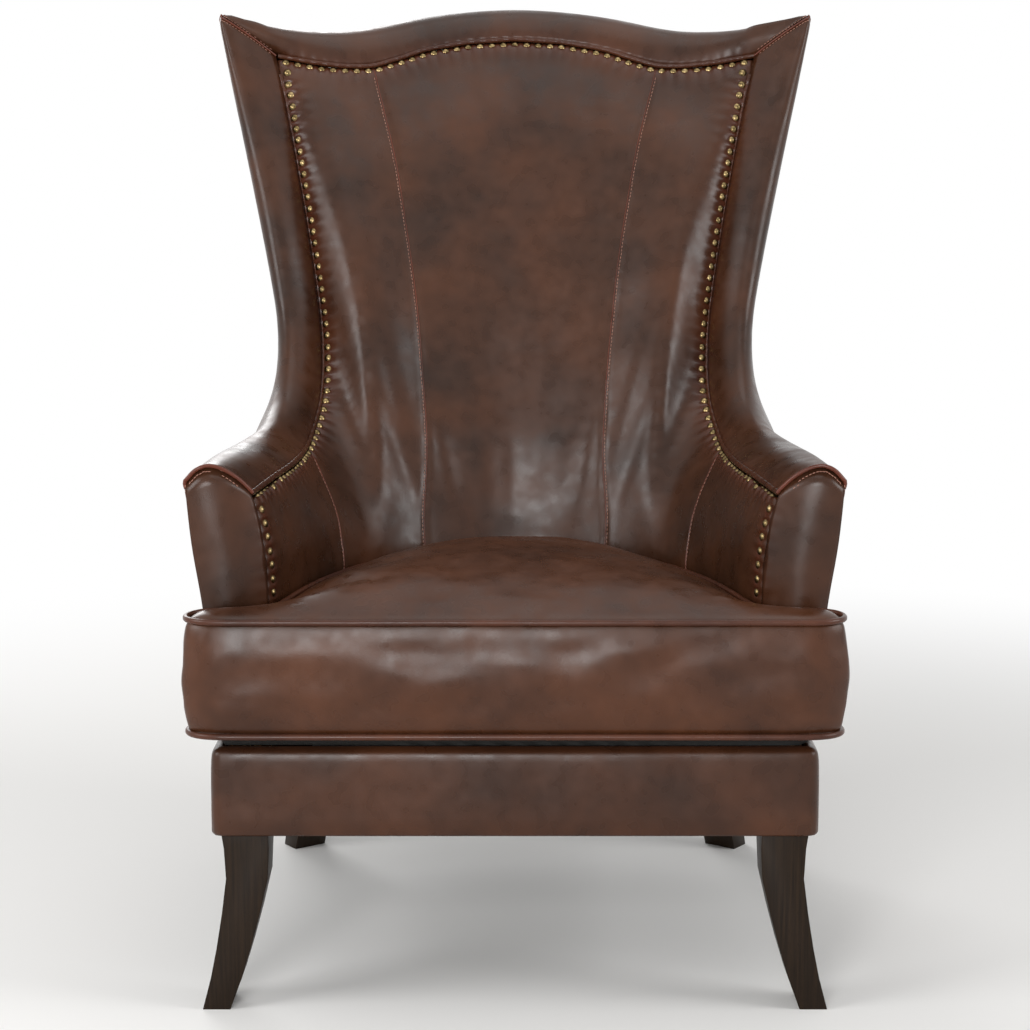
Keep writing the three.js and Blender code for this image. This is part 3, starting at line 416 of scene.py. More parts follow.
# Edge bands: strips of the same hide over a roll of cotton felt, pulled round the rim of the frame and
# held by a row of nails on each side. They meet in mitres at the wing tips and at the arm fronts.
tip_round = 16 * MM
tip_reach = 4 * tip_round
tip_blunting = 0.55
tip_softness = 6 * MM
lean_aside, lean_back, lean_up = 0.6, -0.3, 0.74  # the way in which the right tip points
rim_points = [vertex.co.copy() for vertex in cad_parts["right_side_band"].data.vertices]
right_tip = max(rim_points, key=lambda point: point.z)
wing_tips = [right_tip, Vector((-right_tip.x, right_tip.y, right_tip.z))]
bands = {}
for node in ("top_band", "right_side_band", "left_side_band", "right_arm_front", "left_arm_front"):
    band = cad_copy(node, f"{node}_roll")
    smooth_over(band, 2, 1, 62)
    for tip in wing_tips:
        lean = Vector((math.copysign(lean_aside, tip.x), lean_back, lean_up)).normalized()
        for vertex in band.data.vertices:
            past = (vertex.co - tip).dot(lean) + tip_round
            if past > 0 and (vertex.co - tip).length < tip_reach:
                vertex.co -= lean * tip_blunting * past * past / (past + tip_softness)
    map_nail_rows(band)
    dress(band, cowhide, "leather", "chair", node)
    bands[node] = band


# Inside covers: the back, the wings and the arms are one deep pad of foam and wadding under five panels
# of the same hide, sewn together with felled seams. The pad swells between the seams and the nails.
def ramp(value, full):
    """A smooth rise from 0 to 1 as a value goes from 0 to its full size."""
    share = min(max(value / full, 0), 1)
    return share * share * (3 - 2 * share)


def join_pieces(pieces):
    activate(pieces[0])
    for piece in pieces:
        piece.select_set(True)
    bpy.ops.object.join()
    return pieces[0]


air_pressure = 4.0
cloth_frames = 20
let_go = 1.5  # a point isn't held any more from two thirds of its full freedom


def swell(pad, voxel, cap, freedom, settle):
    """Remeshes a pad and blows it up as cloth; freedom gives how much of the cap each point may move."""
    activate(pad)
    pad.data.remesh_voxel_size = voxel
    bpy.ops.object.voxel_remesh()
    edit_all(bpy.ops.mesh.vertices_smooth, factor=0.5, repeat=2)
    rest = [vertex.co.copy() for vertex in pad.data.vertices]
    shares = [freedom(vertex.co, vertex.normal) for vertex in pad.data.vertices]
    held = pad.vertex_groups.new(name="held")
    for i, share in enumerate(shares):
        held.add([i], 1 - min(share * let_go, 1), "REPLACE")
    cloth = pad.modifiers.new("cloth", "CLOTH")
    cloth.settings.use_pressure = True
    cloth.settings.uniform_pressure_force = air_pressure
    cloth.settings.vertex_group_mass = held.name
    cloth.settings.effector_weights.gravity = 0
    for number in range(1, cloth_frames + 1):
        scene.frame_set(number)
    blown = pad.evaluated_get(bpy.context.evaluated_depsgraph_get())
    moved = [vertex.co.copy() for vertex in blown.data.vertices]
    pad.modifiers.remove(cloth)
    scene.frame_set(1)
    for vertex, start, end, share in zip(pad.data.vertices, rest, moved, shares):
        step = end - start
        if step.length > cap * share:
            step *= cap * share / step.length
        vertex.co = start + step
    edit_all(bpy.ops.mesh.vertices_smooth, factor=0.5, repeat=settle)
    fine = pad.modifiers.new("fine", "SUBSURF")
    fine.levels = fine.render_levels = 1
    activate(pad)
    bpy.ops.object.modifier_apply(modifier=fine.name)
    bpy.ops.object.shade_smooth()


pucker_depth = 0.9 * MM
pucker_reach = 9 * MM
seat_middle = Vector((0, -166 * MM, 0))
level_slack = 14 * MM
inside_nodes = ["inside_back", "right_inside_wing", "left_inside_wing", "right_inside_arm", "left_inside_arm"]
panels = {node: cad_copy(node, f"{node}_panel") for node in inside_nodes}


def meeting_line(node, other, reach, facing):
    """The corners of one CAD panel that lie at the next one and face a point, from the bottom up."""
    ends = [vertex.co for vertex in panels[other].data.vertices]
    corners = [vertex.co.copy() for vertex in panels[node].data.vertices
               if min((vertex.co - end).length for end in ends) < reach]
    line = []
    for corner in corners:
        partners = [point for point in corners if abs(point.z - corner.z) < level_slack]
        nearest = min(partners, key=lambda point: (point.xy - facing.xy).length)
        if nearest == corner:
            line.append(corner)
    return sorted(line, key=lambda point: point.z)


def smooth_path(corners, spacing):
    """Evenly spaced points on a smooth curve through the corners."""
    dense, steps = [], 24
    for i in range(len(corners) - 1):
        a, b, c, d = (corners[min(max(i + k, 0), len(corners) - 1)] for k in (-1, 0, 1, 2))
        for step in range(steps):
            t = step / steps
            dense.append(((b * 2) + (c - a) * t + (a * 2 - b * 5 + c * 4 - d) * t * t
                          + (b * 3 - a - c * 3 + d) * t ** 3) / 2)
    dense.append(corners[-1])
    path, walked, due = [dense[0]], 0.0, spacing
    for start, end in zip(dense, dense[1:]):
        length = (end - start).length
        while length > 0 and walked + length >= due:
            path.append(start.lerp(end, (due - walked) / length))
            due += spacing
        walked += length
    return path


seam_lines = {
    "right_back": meeting_line("inside_back", "right_inside_wing", 2 * MM, seat_middle),
    "right_arm": meeting_line("right_inside_wing", "right_inside_arm", 2 * MM, seat_middle),
}
inner_pad = join_pieces([panels.pop(node) for node in inside_nodes])
inner_pad.name = "inner_pad"
edit_all(bpy.ops.transform.shrink_fatten, value=0.8 * MM)  # closes the joints between the panels
nail_tree = KDTree(sum(len(row) for row in nails.values()))
for number, (foot, _) in enumerate(head for row in nails.values() for head in row):
    nail_tree.insert(foot, number)
nail_tree.balance()


nail_hold, nail_fade = 10 * MM, 45 * MM
pad_foot, foot_fade = 0.45, 60 * MM


def pad_freedom(place, normal):
    """Free between the seams and the nails on the side that faces the seat, and held elsewhere."""
    to_seat = (seat_middle - place).to_2d().normalized()
    facing = ramp(normal.to_2d().dot(to_seat), 0.5)
    edge = ramp(nail_tree.find(place)[2] - nail_hold, nail_fade)
    return facing * edge * ramp(place.z - pad_foot, foot_fade)


def rumple(piece, size, amount, freedom):
    """Soft waves of hide that has stretched a little over its padding."""
    moves = []
    for vertex in piece.data.vertices:
        spot = Vector(c / s for c, s in zip(vertex.co, size))
        share = amount * freedom(vertex.co, vertex.normal) * noise.noise(spot)
        moves.append(vertex.normal * share)
    for vertex, step in zip(piece.data.vertices, moves):
        vertex.co += step


swell(inner_pad, voxel=7 * MM, cap=9 * MM, freedom=pad_freedom, settle=6)
rumple(inner_pad, size=(0.07, 0.07, 0.11), amount=2.4 * MM, freedom=pad_freedom)

# The two upper corners are pulled smooth, as the hide is stretched tight into them
tight_corner = 75 * MM
activate(inner_pad)
bpy.ops.object.mode_set(mode="EDIT")
bpy.ops.mesh.select_all(action="DESELECT")
bpy.ops.object.mode_set(mode="OBJECT")
for vertex in inner_pad.data.vertices:
    for side in ("right", "left"):
        near_tip = (vertex.co - nails[f"{side}_inner_nails"][0][0]).length < tight_corner
        if near_tip and vertex.normal.y < -0.2:
            vertex.select = True
bpy.ops.object.mode_set(mode="EDIT")
bpy.ops.mesh.vertices_smooth(factor=0.5, repeat=40)
bpy.ops.object.mode_set(mode="OBJECT")
steps = [vertex.normal * (pucker_depth * math.cos(2 * math.pi * count) * math.exp(-gap / pucker_reach))
         for vertex, (count, gap) in zip(inner_pad.data.vertices, map_nail_rows(inner_pad))]
for vertex, step in zip(inner_pad.data.vertices, steps):
    vertex.co -= step
dress(inner_pad, cowhide, "leather", "chair", *inside_nodes)


# Seat cushion: a T-shaped cover of the same hide over a foam core wrapped in down. Its panels are sewn
# to the boxing with a welt round the top and the bottom, so it is held there and swells between. Its
# hide is painted lighter than that of the covers, as a painted sheen for the light on its front.
cushion = cad_copy("seat_cushion", "seat_cushion_case")
smooth_over(cushion, 1, 0.6, 40)
welt_levels = [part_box(node)[0][2] + 3 * MM for node in ("cushion_bottom_welt", "cushion_top_welt")]
front_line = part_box("left_arm_front")[0][1]
welt_hold, welt_fade = 4 * MM, 30 * MM
crown_hold, crown_fade, crown_share = 2 * MM, 18 * MM, 0.9
front_hold, front_fade, side_share = 8 * MM, 12 * MM, 0.12


def cushion_freedom(place, normal):
    """Free on the crown and on the front boxing, away from the welts, and flat underneath."""
    if normal.z < -0.6:
        return 0
    seam = min(abs(place.z - level) for level in welt_levels) if abs(normal.z) < 0.8 else 1
    edge = ramp(seam - welt_hold, welt_fade)
    if normal.z > 0.6:
        return crown_share * ramp(place.z - welt_levels[1] - crown_hold, crown_fade)
    front = ramp(front_line - front_hold - place.y, front_fade)
    return edge * (side_share + (1 - side_share) * front)


swell(cushion, voxel=6 * MM, cap=10 * MM, freedom=cushion_freedom, settle=2)
rumple(cushion, size=(0.06, 0.06, 0.035), amount=3 * MM, freedom=cushion_freedom)
# The cushion's hide is a lighter copy of the cowhide: a painted sheen for the light on its front boxing.
cushion_hide_painted_sheen = antiqued_leather("antiqued_top_grain_cushion_cowhide_painted_sheen", 0x341D11, 0x502E1B, 0x5A2819, False)
dress(cushion, cushion_hide_painted_sheen, "leather", "cushion", "seat_cushion")


# Welts: a cotton cord wrapped in a bias strip of the hide, which wears redder than the panels. One runs
# round the top seam of the cushion and one round the bottom.
welt_hide = antiqued_leather("worn_cowhide_piping", 0x371C12, 0x552F1E, 0x552F1E, False)
for node in ("cushion_top_welt", "cushion_bottom_welt"):
    welt = cad_copy(node, f"{node}_cord")
    smooth_over(welt, 2, 0, 180)
    activate(welt)
    edit_all(bpy.ops.transform.shrink_fatten, value=0.4 * MM)
    dress(welt, welt_hide, "welt_leather", "cushion", node)


# Front rail cover: the hide is stretched over felt on the front rail and rolled over its top edge. It is
# rubbed a little lighter than the covers.
rail_cover = cad_copy("front_rail_cover", "front_rail_padding")
smooth_over(rail_cover, 2, 0.5, 50)
rail_hide = antiqued_leather("antiqued_top_grain_rail_cowhide", 0x311C11, 0x492A19, 0x5A2819, False)
dress(rail_cover, rail_hide, "leather", "chair", "front_rail_cover")


# Brass nails: stamped domes with an antique finish, rubbed bright on the crown and dark in the hollow
# round the shank. They stand along the turned edge of each band, a head's width and a half from one
# middle to the next.
domes_material, tree, _, place = new_finish("antiqued_stamped_brass")
tarnish = add_node(tree, "ShaderNodeTexNoise", {"Scale": 1 / (6 * MM), "Detail": 4}, {"Vector": place})
shade = add_node(tree, "ShaderNodeMapRange", {"From Min": 0.35, "From Max": 0.65},
                 {"Value": tarnish.outputs["Fac"]})
two_tone(tree, 0x5E5034, 0x94805A, shade.outputs[0], roughness=0.3, metallic=1.0)

deselect()
head_width = 10.6 * MM  # a little over the CAD's plain cone, as a thin rim spreads round each dome
head_rise = 2.9 * MM
bend = (head_width ** 2 / 4 + head_rise ** 2) / (2 * head_rise)
bpy.ops.mesh.primitive_uv_sphere_add(segments=14, ring_count=18, radius=bend,
                                     location=(0, 0, head_rise - bend))
dome = bpy.context.object
bpy.ops.object.transform_apply()
edit_all(bpy.ops.mesh.bisect, plane_co=(0, 0, 0), plane_no=(0, 0, 1), clear_inner=True, use_fill=True)
bpy.ops.object.shade_smooth_by_angle(angle=math.radians(60))


def copies_along(shape, name, seats):
    """One piece made of a copy of a shape at each seat: a place, the way out and the way along."""
    points, faces = [], []
    for place, out, along in seats:
        across = out.cross(along).normalized()
        turn = Matrix((across.cross(out), across, out)).transposed()
        start = len(points)
        points += [place + turn @ vertex.co for vertex in shape.data.vertices]
        faces += [[start + i for i in face.vertices] for face in shape.data.polygons]
    mesh = bpy.data.meshes.new(name)
    mesh.from_pydata(points, [], faces)
    piece = bpy.data.objects.new(name, mesh)
    bpy.context.collection.objects.link(piece)
    activate(piece)
    bpy.ops.object.shade_smooth_by_angle(angle=math.radians(60))
    return piece


outer_hide = surface_of(*covers.values())
inner_hide = surface_of(inner_pad)
cast_reach = 12  # in millimetres
nail_sink = 0.1 * MM


def seat_on(hide, place, out, sink):
    """The place on a hide, sunk a little, that shows at a point from outside, with the way out there."""
    found, normal, _, _ = hide.ray_cast(place + out * cast_reach * MM, -out, 2 * cast_reach * MM)
    if not found:
        found, normal, _, _ = hide.find_nearest(place)
    if normal.dot(out) < 0:
        normal = -normal
    return found - normal * sink, normal


def nail_row(name, hide, feet, *nodes):
    """One nail head at each foot, turned along its row and seated on the hide."""
    seats = []
    for i, (foot, out) in enumerate(feet):
        ahead = feet[min(i + 1, len(feet) - 1)][0] - feet[max(i - 1, 0)][0]
        if not ahead.length:
            ahead = out.orthogonal()
        place, normal = seat_on(hide, foot, out, nail_sink)
        seats.append((place, normal, (ahead - normal * ahead.dot(normal)).normalized()))
    dress(copies_along(dome, name, seats), domes_material, "brass", "chair", *nodes)


for strip, row in nails.items():
    hide = outer_hide if "outer" in strip else inner_hide
    nail_row(strip.replace("nails", "nail_heads"), hide, row, *([strip] if strip in nail_strips else []))
bpy.data.objects.remove(dome)


# Seams: the panels are sewn face to face with bonded thread, turned over and stitched again beside the
# fold. The fold wears to the red of the hide, and the thread has faded to a dusty pink.
thread, tree, shader, place = new_finish("faded_bonded_nylon_thread")
fading = add_node(tree, "ShaderNodeTexNoise", {"Scale": 1 / (25 * MM), "Detail": 2}, {"Vector": place})
two_tone(tree, 0x6E4335, 0xA67662, fading.outputs["Fac"], roughness=0.55)
shader.inputs["Sheen Weight"].default_value = 0.2

stitch_length = 3.6 * MM
stitch_pitch = 5 * MM
stitch_lift = 0.15 * MM
thread_width = 1.1 * MM  # bonded thread is about 0.7 mm, too fine to show here
seam_spacing = 3 * MM
seam_width = 9 * MM
seam_depth = 2.2 * MM
fold_width = 2.1 * MM
worn_fold = antiqued_leather("worn_cowhide_seam_fold", 0x432117, 0x693525, 0x693525, False)

deselect()
bpy.ops.mesh.primitive_uv_sphere_add(segments=6, ring_count=6, radius=thread_width / 2,
                                     rotation=(0, math.pi / 2, 0))
stitch = bpy.context.object
bpy.ops.object.transform_apply(location=False, rotation=True, scale=False)
edit_all(bpy.ops.transform.resize, value=(stitch_length / thread_width, 1, 0.8))


def press_seam(piece, path):
    """Sinks the hide along a seam, most at the fold."""
    line = KDTree(len(path))
    for i, point in enumerate(path):
        line.insert(point, i)
    line.balance()
    moves = []
    for vertex in piece.data.vertices:
        share = 1 - line.find(vertex.co)[2] / seam_width
        if share > 0:
            moves.append((vertex, vertex.normal * seam_depth * share * share))
    for vertex, step in moves:
        vertex.co -= step


def lay_on(hide, path, out):
    """A path moved onto a hide, with the way out of the hide at each point."""
    seats = [seat_on(hide, point, out(point), 0) for point in path]
    return [place for place, _ in seats], [normal for _, normal in seats]


def fold_along(name, hide, path, out, width=fold_width, material=worn_fold, slot="welt_leather"):
    """A round fold of hide half sunk along a path, which is moved onto a hide where one is given."""
    points = lay_on(hide, path, out)[0] if hide else path
    curve = bpy.data.curves.new(name, "CURVE")
    curve.dimensions = "3D"
    curve.bevel_depth = width / 2
    curve.bevel_resolution = 2
    curve.use_fill_caps = True
    spline = curve.splines.new("POLY")
    spline.points.add(len(points) - 1)
    for knot, point in zip(spline.points, points):
        knot.co = (*point, 1)
    fold = bpy.data.objects.new(name, curve)
    bpy.context.collection.objects.link(fold)
    activate(fold)
    bpy.ops.object.convert(target="MESH")
    fold = bpy.context.object
    bpy.ops.object.shade_smooth()
    map_nail_rows(fold)
    dress(fold, material, slot, "chair")


def stitches_along(name, hide, corners, out, offsets):
    """Rows of stitches beside a seam, each row at its own distance from the fold."""
    path = smooth_path(corners, stitch_pitch)
    points, normals = lay_on(hide, path, out)
    seats = []
    for offset in offsets:
        for i in range(2, len(points) - 2):
            along = (points[i + 1] - points[i - 1]).normalized()
            aside = points[i] + along.cross(normals[i]) * offset
            place, normal = seat_on(hide, aside, normals[i], -stitch_lift)
            seats.append((place, normal, (along - normal * along.dot(normal)).normalized()))
    row = copies_along(stitch, name, seats)
    dress(row, thread, "welt_leather", "chair")


def mirrored(points):
    return [Vector((-point.x, point.y, point.z)) for point in points]


def sides_of(name, corners):
    """A seam of the right side and its mirror image on the left."""
    return ((f"right_{name}", corners, 1), (f"left_{name}", mirrored(corners), -1))


def towards_seat(point):
    return Vector((seat_middle.x - point.x, seat_middle.y - point.y, 0)).normalized()


def from_seat(point):
    return -towards_seat(point)


# Each band is turned under along its nails, and the roll of the turned edge closes the joint
edge_width = 6.5 * MM
edge_aside, edge_sink = 6.4, 2.8  # in millimetres
band_hide = surface_of(*bands.values())
for strip in nail_strips:
    hide = outer_hide if "outer" in strip else inner_hide
    feet = [foot for foot, _ in nails[strip]]
    path = []
    for i, (foot, out) in enumerate(nails[strip]):
        along = (feet[min(i + 1, len(feet) - 1)] - feet[max(i - 1, 0)]).normalized()
        aside = along.cross(out) * edge_aside * MM
        near = min((foot + aside, foot - aside), key=lambda point: band_hide.find_nearest(point)[3])
        path.append(near - out * edge_sink * MM)
    path = [path[0] * 2 - path[1], *path, path[-1] * 2 - path[-2]]
    fold_along(strip.replace("nails", "band_edge"), None, smooth_path(path, 6 * MM), None, edge_width,
               cowhide, "leather")

# Seams of the inside: two up the back, and one down each arm
for line in ("back", "arm"):
    for _, corners, _ in sides_of(line, seam_lines[f"right_{line}"]):
        path = smooth_path(corners, seam_spacing)
        press_seam(inner_pad, lay_on(inner_hide, path, towards_seat)[0])
inner_hide = surface_of(inner_pad)
for line, offset in (("back", 2.6 * MM), ("arm", 2.4 * MM)):
    for name, corners, sense in sides_of(f"{line}_seam", seam_lines[f"right_{line}"]):
        fold_along(f"{name}_fold", inner_hide, smooth_path(corners, seam_spacing), towards_seat,
                   fold_width if line == "arm" else 0.7 * fold_width)
        stitches_along(f"{name}_stitches", inner_hide, corners, towards_seat, [offset * sense])

# Seams of the outside: one down each side, between the arm and the back
side_corners = [vertex.co.copy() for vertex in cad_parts["right_outside_arm"].data.vertices
                if vertex.co.y > 20 * MM]
side_top = max(side_corners, key=lambda point: (round(point.z, 3), point.x))
side_foot = max((point for point in side_corners if point.z < 0.2), key=lambda point: point.y)
side_seam = [side_foot.lerp(side_top, share / 12) for share in range(13)]
for name, corners, sense in sides_of("side_seam", side_seam):
    path = smooth_path(corners, seam_spacing)
    fold_along(f"{name}_fold", outer_hide, path, from_seat, 0.8 * fold_width)
    stitches_along(f"{name}_stitches", outer_hide, corners, from_seat, [-2.8 * MM * sense])


mitre_reach = 4 * MM
rim_slack = 3 * MM


def mitre_line(band, other, inner, outer):
    """The corners of a band that meet the next band, over the rim from one nail row to the other."""
    ends = [vertex.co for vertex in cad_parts[other].data.vertices]
    corners = {tuple(round(c, 4) for c in vertex.co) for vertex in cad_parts[band].data.vertices
               if min((vertex.co - end).length for end in ends) < mitre_reach}
    corners = [Vector(corner) for corner in corners]
    start = min(corners, key=lambda point: (point - inner).length)
    end = min(corners, key=lambda point: (point - outer).length)
    pivot = (start + end) / 2
    rim = [point for point in corners if point not in (start, end)]
    rim.sort(key=lambda point: (point - pivot).normalized().angle(start - pivot))
    before, after = [start, *rim[:-1]], [*rim[1:], end]
    rim = [point for last, point, following in zip(before, rim, after)
           if (point - pivot).length > ((last + following) / 2 - pivot).length - rim_slack]
    return [start, *rim, end]


# Mitres: the bands meet in a fold, stitched on both sides at the wing tips. On top of the arm fronts it is
# thicker and worn, with one row of stitches on the face
tip_mitre = mitre_line("right_side_band", "top_band", nails["right_inner_nails"][0][0],
                       nails["right_outer_nails"][0][0])
arm_mitre = mitre_line("right_arm_front", "right_side_band", nails["right_inner_nails"][-1][0],
                       nails["right_outer_nails"][-1][0])
for line, corners, offsets, width in (("tip_mitre", tip_mitre, (-3 * MM, 3 * MM), 1.3 * fold_width),
                                      ("arm_mitre", arm_mitre, (5.5 * MM,), 2.2 * fold_width)):
    core = sum(corners, Vector()) / len(corners)
    for name, points, sense in sides_of(line, corners):
        middle = core if sense > 0 else mirrored([core])[0]

        def away(point, middle=middle):
            return (point - middle).normalized()

        fold_along(f"{name}_fold", band_hide, smooth_path(points, seam_spacing), away, width)
        stitches_along(f"{name}_stitches", band_hide, points, away, [offset * sense for offset in offsets])
bpy.data.objects.remove(stitch)


# Timber: the frame is kiln-dried beech, sawn and left bare under the covers. The four sabre legs are
# beech too, cut from thicker plank, sanded round the arrises, stained espresso and lacquered satin.
def timber(name, dark, light, roughness, along):
    """Beech, with its grain and short dark flecks along one axis."""
    material, tree, shader, place = new_finish(name)
    grain_scale = [1 / (3 * MM)] * 3  # growth rings about 3 mm apart
    fleck_scale = [1 / (1.2 * MM)] * 3
    grain_scale[along] = 1 / (90 * MM)
    fleck_scale[along] = 1 / (7 * MM)
    stretched = add_node(tree, "ShaderNodeMapping", {"Scale": grain_scale}, {"Vector": place})
    rings = add_node(tree, "ShaderNodeTexNoise", {"Scale": 1, "Detail": 4, "Roughness": 0.6,
                     "Distortion": 0.4}, {"Vector": stretched.outputs[0]})
    dashed = add_node(tree, "ShaderNodeMapping", {"Scale": fleck_scale}, {"Vector": place})
    flecks = add_node(tree, "ShaderNodeTexNoise", {"Scale": 1, "Detail": 1}, {"Vector": dashed.outputs[0]})
    fleck = add_node(tree, "ShaderNodeMapRange", {"From Min": 0.6, "From Max": 0.72, "To Max": 0.5},
                     {"Value": flecks.outputs["Fac"]})
    share = add_node(tree, "ShaderNodeMapRange", {"From Min": 0.3, "From Max": 0.7},
                     {"Value": rings.outputs["Fac"]})
    colour = add_node(tree, "ShaderNodeMix", {"A": srgb(dark), "B": srgb(light)},
                      {"Factor": share.outputs[0]}, data_type="RGBA")
    marked = add_node(tree, "ShaderNodeMix", {"B": srgb(dark)}, {"Factor": fleck.outputs[0],
                      "A": colour.outputs["Result"]}, data_type="RGBA")
    tree.links.new(marked.outputs["Result"], shader.inputs["Base Color"])
    relief = add_node(tree, "ShaderNodeBump", {"Distance": 0.15 * MM, "Strength": 0.6},
                      {"Height": rings.outputs["Fac"]})
    tree.links.new(relief.outputs[0], shader.inputs["Normal"])
    shader.inputs["Roughness"].default_value = roughness
    return material


espresso = timber("espresso_stained_lacquered_beech", 0x170F08, 0x281C11, 0.42, 2)
espresso.node_tree.nodes["Principled BSDF"].inputs["Specular IOR Level"].default_value = 0.15
arris = 2.2 * MM
for node in ("right_front_leg", "left_front_leg", "right_rear_leg", "left_rear_leg"):
    leg = cad_copy(node, node.replace("_leg", "_sabre_leg"))
    rounding = leg.modifiers.new("arris", "BEVEL")
    rounding.width = arris
    rounding.segments = 3
    rounding.limit_method = "ANGLE"
    rounding.angle_limit = math.radians(40)
    bpy.ops.object.modifier_apply(modifier=rounding.name)
    bpy.ops.object.shade_smooth_by_angle(angle=math.radians(35))
    dress(leg, espresso, "leg_wood", "chair", node)

sawn_upright = timber("bare_sawn_beech_upright", 0xB78F63, 0xD2B083, 0.7, 2)
sawn_across = timber("bare_sawn_beech_across", 0xB78F63, 0xD2B083, 0.7, 0)
sawn_deep = timber("bare_sawn_beech_front_to_back", 0xB78F63, 0xD2B083, 0.7, 1)
for node, timber_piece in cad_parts.items():
    if timber_piece.data.materials[0].name.startswith("frame_wood"):
        upright = "post" in node or "block" in node
        deep = "side_rail" in node or "arm_rail" in node
        timber_piece.material_slots[0].material = (sawn_upright if upright else sawn_deep if deep
                                                   else sawn_across)


# Steel: zinc-plated sinuous springs of 3.8 mm wire, the pressed clip strips that hold them, and the
# hanger bolts of the legs. Bright zinc dulls to a soft grey with a faint crystal pattern.
zinc, tree, _, place = new_finish("bright_zinc_plated_steel")
spangle = add_node(tree, "ShaderNodeTexVoronoi", {"Scale": 1 / (4 * MM)}, {"Vector": place})
two_tone(tree, 0x9A9C9E, 0xC4C6C8, spangle.outputs["Distance"], roughness=0.38, metallic=1.0)
for node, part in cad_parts.items():
    if part.data.materials[0].name.startswith("steel"):
        part.material_slots[0].material = zinc


# Deck, dust cover and webbing: black cambric, a close plain cotton weave with a dull face, covers the
# springs and closes the underside, where it is stapled. A sheet of jute webbing carries the back.
def woven(name, dark, light, yarn, roughness):
    """A plain weave over x and y, with its yarns as wide as it is given."""
    material, tree, shader, place = new_finish(name)
    waves = []
    for axis in ("X", "Y"):
        waves.append(add_node(tree, "ShaderNodeTexWave", {"Scale": 1 / (yarn * 6.4), "Distortion": 0.3},
                              {"Vector": place}, bands_direction=axis))
    weave = add_node(tree, "ShaderNodeMath", links={0: waves[0].outputs["Fac"], 1: waves[1].outputs["Fac"]},
                     operation="MULTIPLY")
    two_tone(tree, dark, light, weave.outputs[0], roughness)
    relief = add_node(tree, "ShaderNodeBump", {"Distance": yarn / 3, "Strength": 0.7},
                      {"Height": weave.outputs[0]})
    tree.links.new(relief.outputs[0], shader.inputs["Normal"])
    return material


cambric = woven("black_cotton_cambric", 0x151413, 0x2A2826, 1.2 * MM, 0.85)  # real yarns are 0.4 mm
jute = woven("jute_webbing", 0x6E5633, 0xA88B5C, 2 * MM, 0.8)

deck = cad_copy("seat_deck", "seat_deck_wadding")
smooth_over(deck, 1, 0.8)
dress(deck, cambric, "black_cloth", "chair", "seat_deck")

straps = cad_copy("back_webbing", "back_webbing_straps")
bpy.ops.object.shade_smooth_by_angle(angle=math.radians(30))
dress(straps, jute, "jute", "chair", "back_webbing")

# The dust cover is cut into a grid of small faces, so that it can sag a little between its staples
cover_middle = Vector((0, -0.06, 0.195))
cover_span = 0.64
cover_cuts = 6
sag = 4 * MM
sag_width, sag_depth, sag_edge = 0.31, 0.25, 0.12
underside = cad_copy("dust_cover", "dust_cover_cambric")
bpy.ops.object.mode_set(mode="EDIT")
for cut in range(1, cover_cuts):
    for across in (Vector((1, 0, 0)), Vector((0, 1, 0))):
        bpy.ops.mesh.select_all(action="SELECT")
        place = cover_middle + across * cover_span * (cut / cover_cuts - 0.5)
        bpy.ops.mesh.bisect(plane_co=place, plane_no=across)
bpy.ops.object.mode_set(mode="OBJECT")
for vertex in underside.data.vertices:
    inset = min(sag_width - abs(vertex.co.x), sag_depth - abs(vertex.co.y - cover_middle.y))
    vertex.co.z -= sag * ramp(inset, sag_edge)
bpy.ops.object.shade_smooth_by_angle(angle=math.radians(30))
dress(underside, cambric, "black_cloth", "chair", "dust_cover")


# Zip: a brass zip in a black cotton tape closes the back of the cushion, where the chair hides it. The
# slider runs on the teeth and carries a pull that hangs flat. Both are cast and polished, brighter than
# the nails, and dull a little where they are handled.
zip_low, zip_high = (Vector(corner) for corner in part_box("cushion_zip"))
zip_radius = zip_high.y - seat_middle.y
zip_level = (zip_low.z + zip_high.z) / 2
zip_reach = math.asin(zip_high.x / zip_radius)
tape = cad_copy("cushion_zip", "cushion_zip_tape")
bpy.ops.object.shade_smooth_by_angle(angle=math.radians(30))
dress(tape, cambric, "black_cloth", "cushion", "cushion_zip")

tooth_pitch = 2.6 * MM
tooth_size = Vector((1.5, 4.5, 0.28)) * MM
slider_size = (10 * MM, 8.6 * MM, 1.9 * MM)
slider_lift, slider_taper = 1.35 * MM, 0.3
pull_size = (6 * MM, 20 * MM, 0.9 * MM)
pull_lift, pull_drop, pull_taper = 2.7 * MM, 11 * MM, 0.35
zip_brass, tree, _, place = new_finish("polished_cast_brass")
handled = add_node(tree, "ShaderNodeTexNoise", {"Scale": 1 / (3 * MM), "Detail": 3}, {"Vector": place})
two_tone(tree, 0x8C7340, 0xC9AC69, handled.outputs["Fac"], roughness=0.25, metallic=1.0)


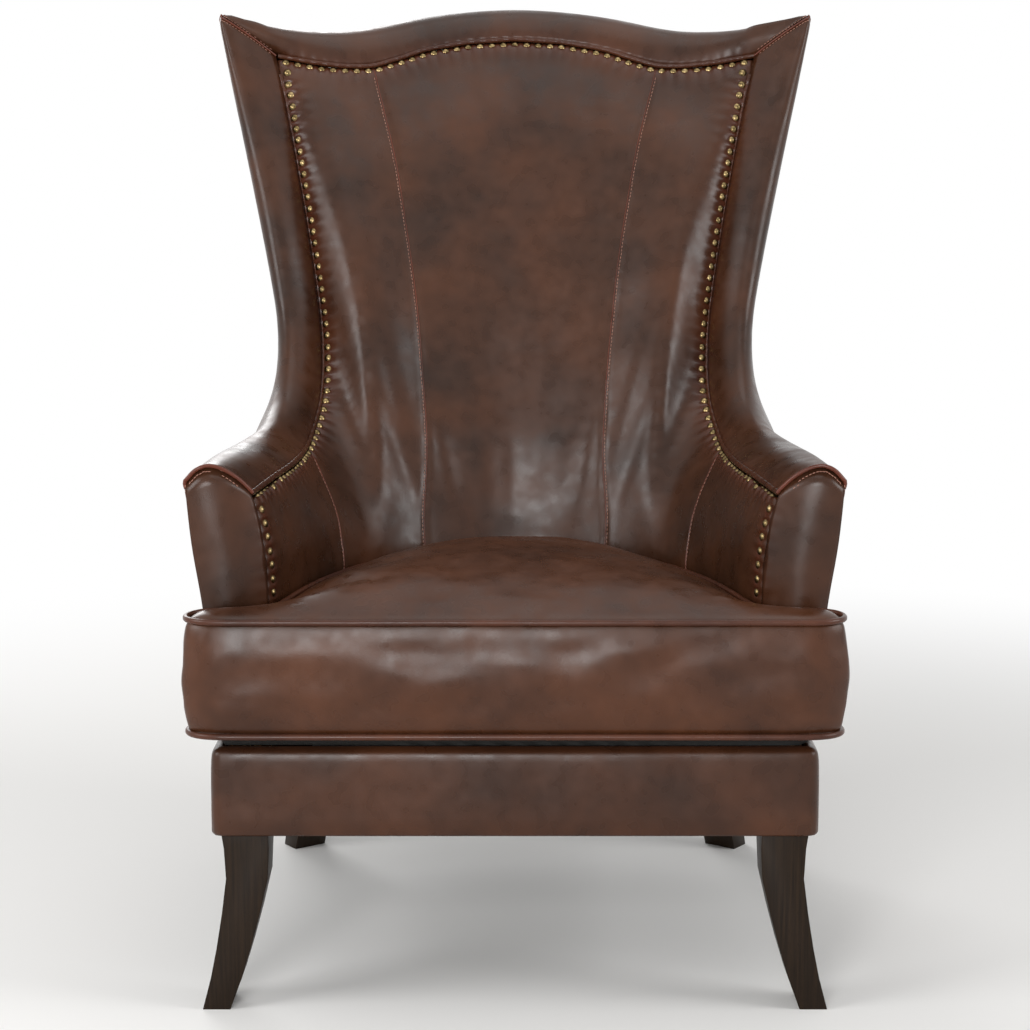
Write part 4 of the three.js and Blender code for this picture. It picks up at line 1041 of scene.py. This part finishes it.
def rounded_block(name, size, chamfer):
    """A block with soft edges, centred on the origin."""
    deselect()
    bpy.ops.mesh.primitive_cube_add(size=1)
    block = bpy.context.object
    block.name = name
    bpy.ops.object.mode_set(mode="EDIT")
    bpy.ops.mesh.select_all(action="SELECT")
    bpy.ops.transform.resize(value=size)
    bpy.ops.mesh.bevel(offset=chamfer, segments=2, affect="EDGES")
    bpy.ops.object.mode_set(mode="OBJECT")
    return block


def on_zip(turn, lift, level):
    """A place on the zip: its turn about the middle of the seat, how far out and how high."""
    out = Vector((math.sin(turn), math.cos(turn), 0))
    place = seat_middle + out * (zip_radius + lift)
    return Vector((place.x, place.y, level)), out, Vector((out.y, -out.x, 0))


tooth = rounded_block("tooth", tooth_size, 0.09 * MM)
count = int(2 * zip_reach * zip_radius / tooth_pitch)
seats = [on_zip((i / count - 0.5) * 2 * zip_reach, tooth_size.z / 2 - 0.05 * MM, zip_level)
         for i in range(1, count)]
teeth = copies_along(tooth, "cushion_zip_teeth", seats)
bpy.data.objects.remove(tooth)
dress(teeth, zip_brass, "brass", "cushion")

slider_low, slider_high = (Vector(corner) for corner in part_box("zip_slider"))
slider_middle = (slider_low + slider_high) / 2
slider_turn = math.atan2(slider_middle.x, slider_middle.y - seat_middle.y)
slider = rounded_block("zip_slider_body", slider_size, 0.5 * MM)
for vertex in slider.data.vertices:
    vertex.co.y *= 1 - slider_taper * ramp(-vertex.co.x, 5 * MM)
body = copies_along(slider, "zip_slider_body_on_teeth", [on_zip(slider_turn, slider_lift, zip_level)])
bpy.data.objects.remove(slider)
pull = rounded_block("zip_pull_plate", pull_size, 0.3 * MM)
for vertex in pull.data.vertices:
    vertex.co.x *= 1 - pull_taper * ramp(vertex.co.y, 10 * MM)
tab = copies_along(pull, "zip_pull_tab", [on_zip(slider_turn, pull_lift, zip_level - pull_drop)])
bpy.data.objects.remove(pull)
zip_pull = join_pieces([body, tab])
zip_pull.name = "zip_slider_and_pull"
dress(zip_pull, zip_brass, "brass", "zip_pull", "zip_slider")
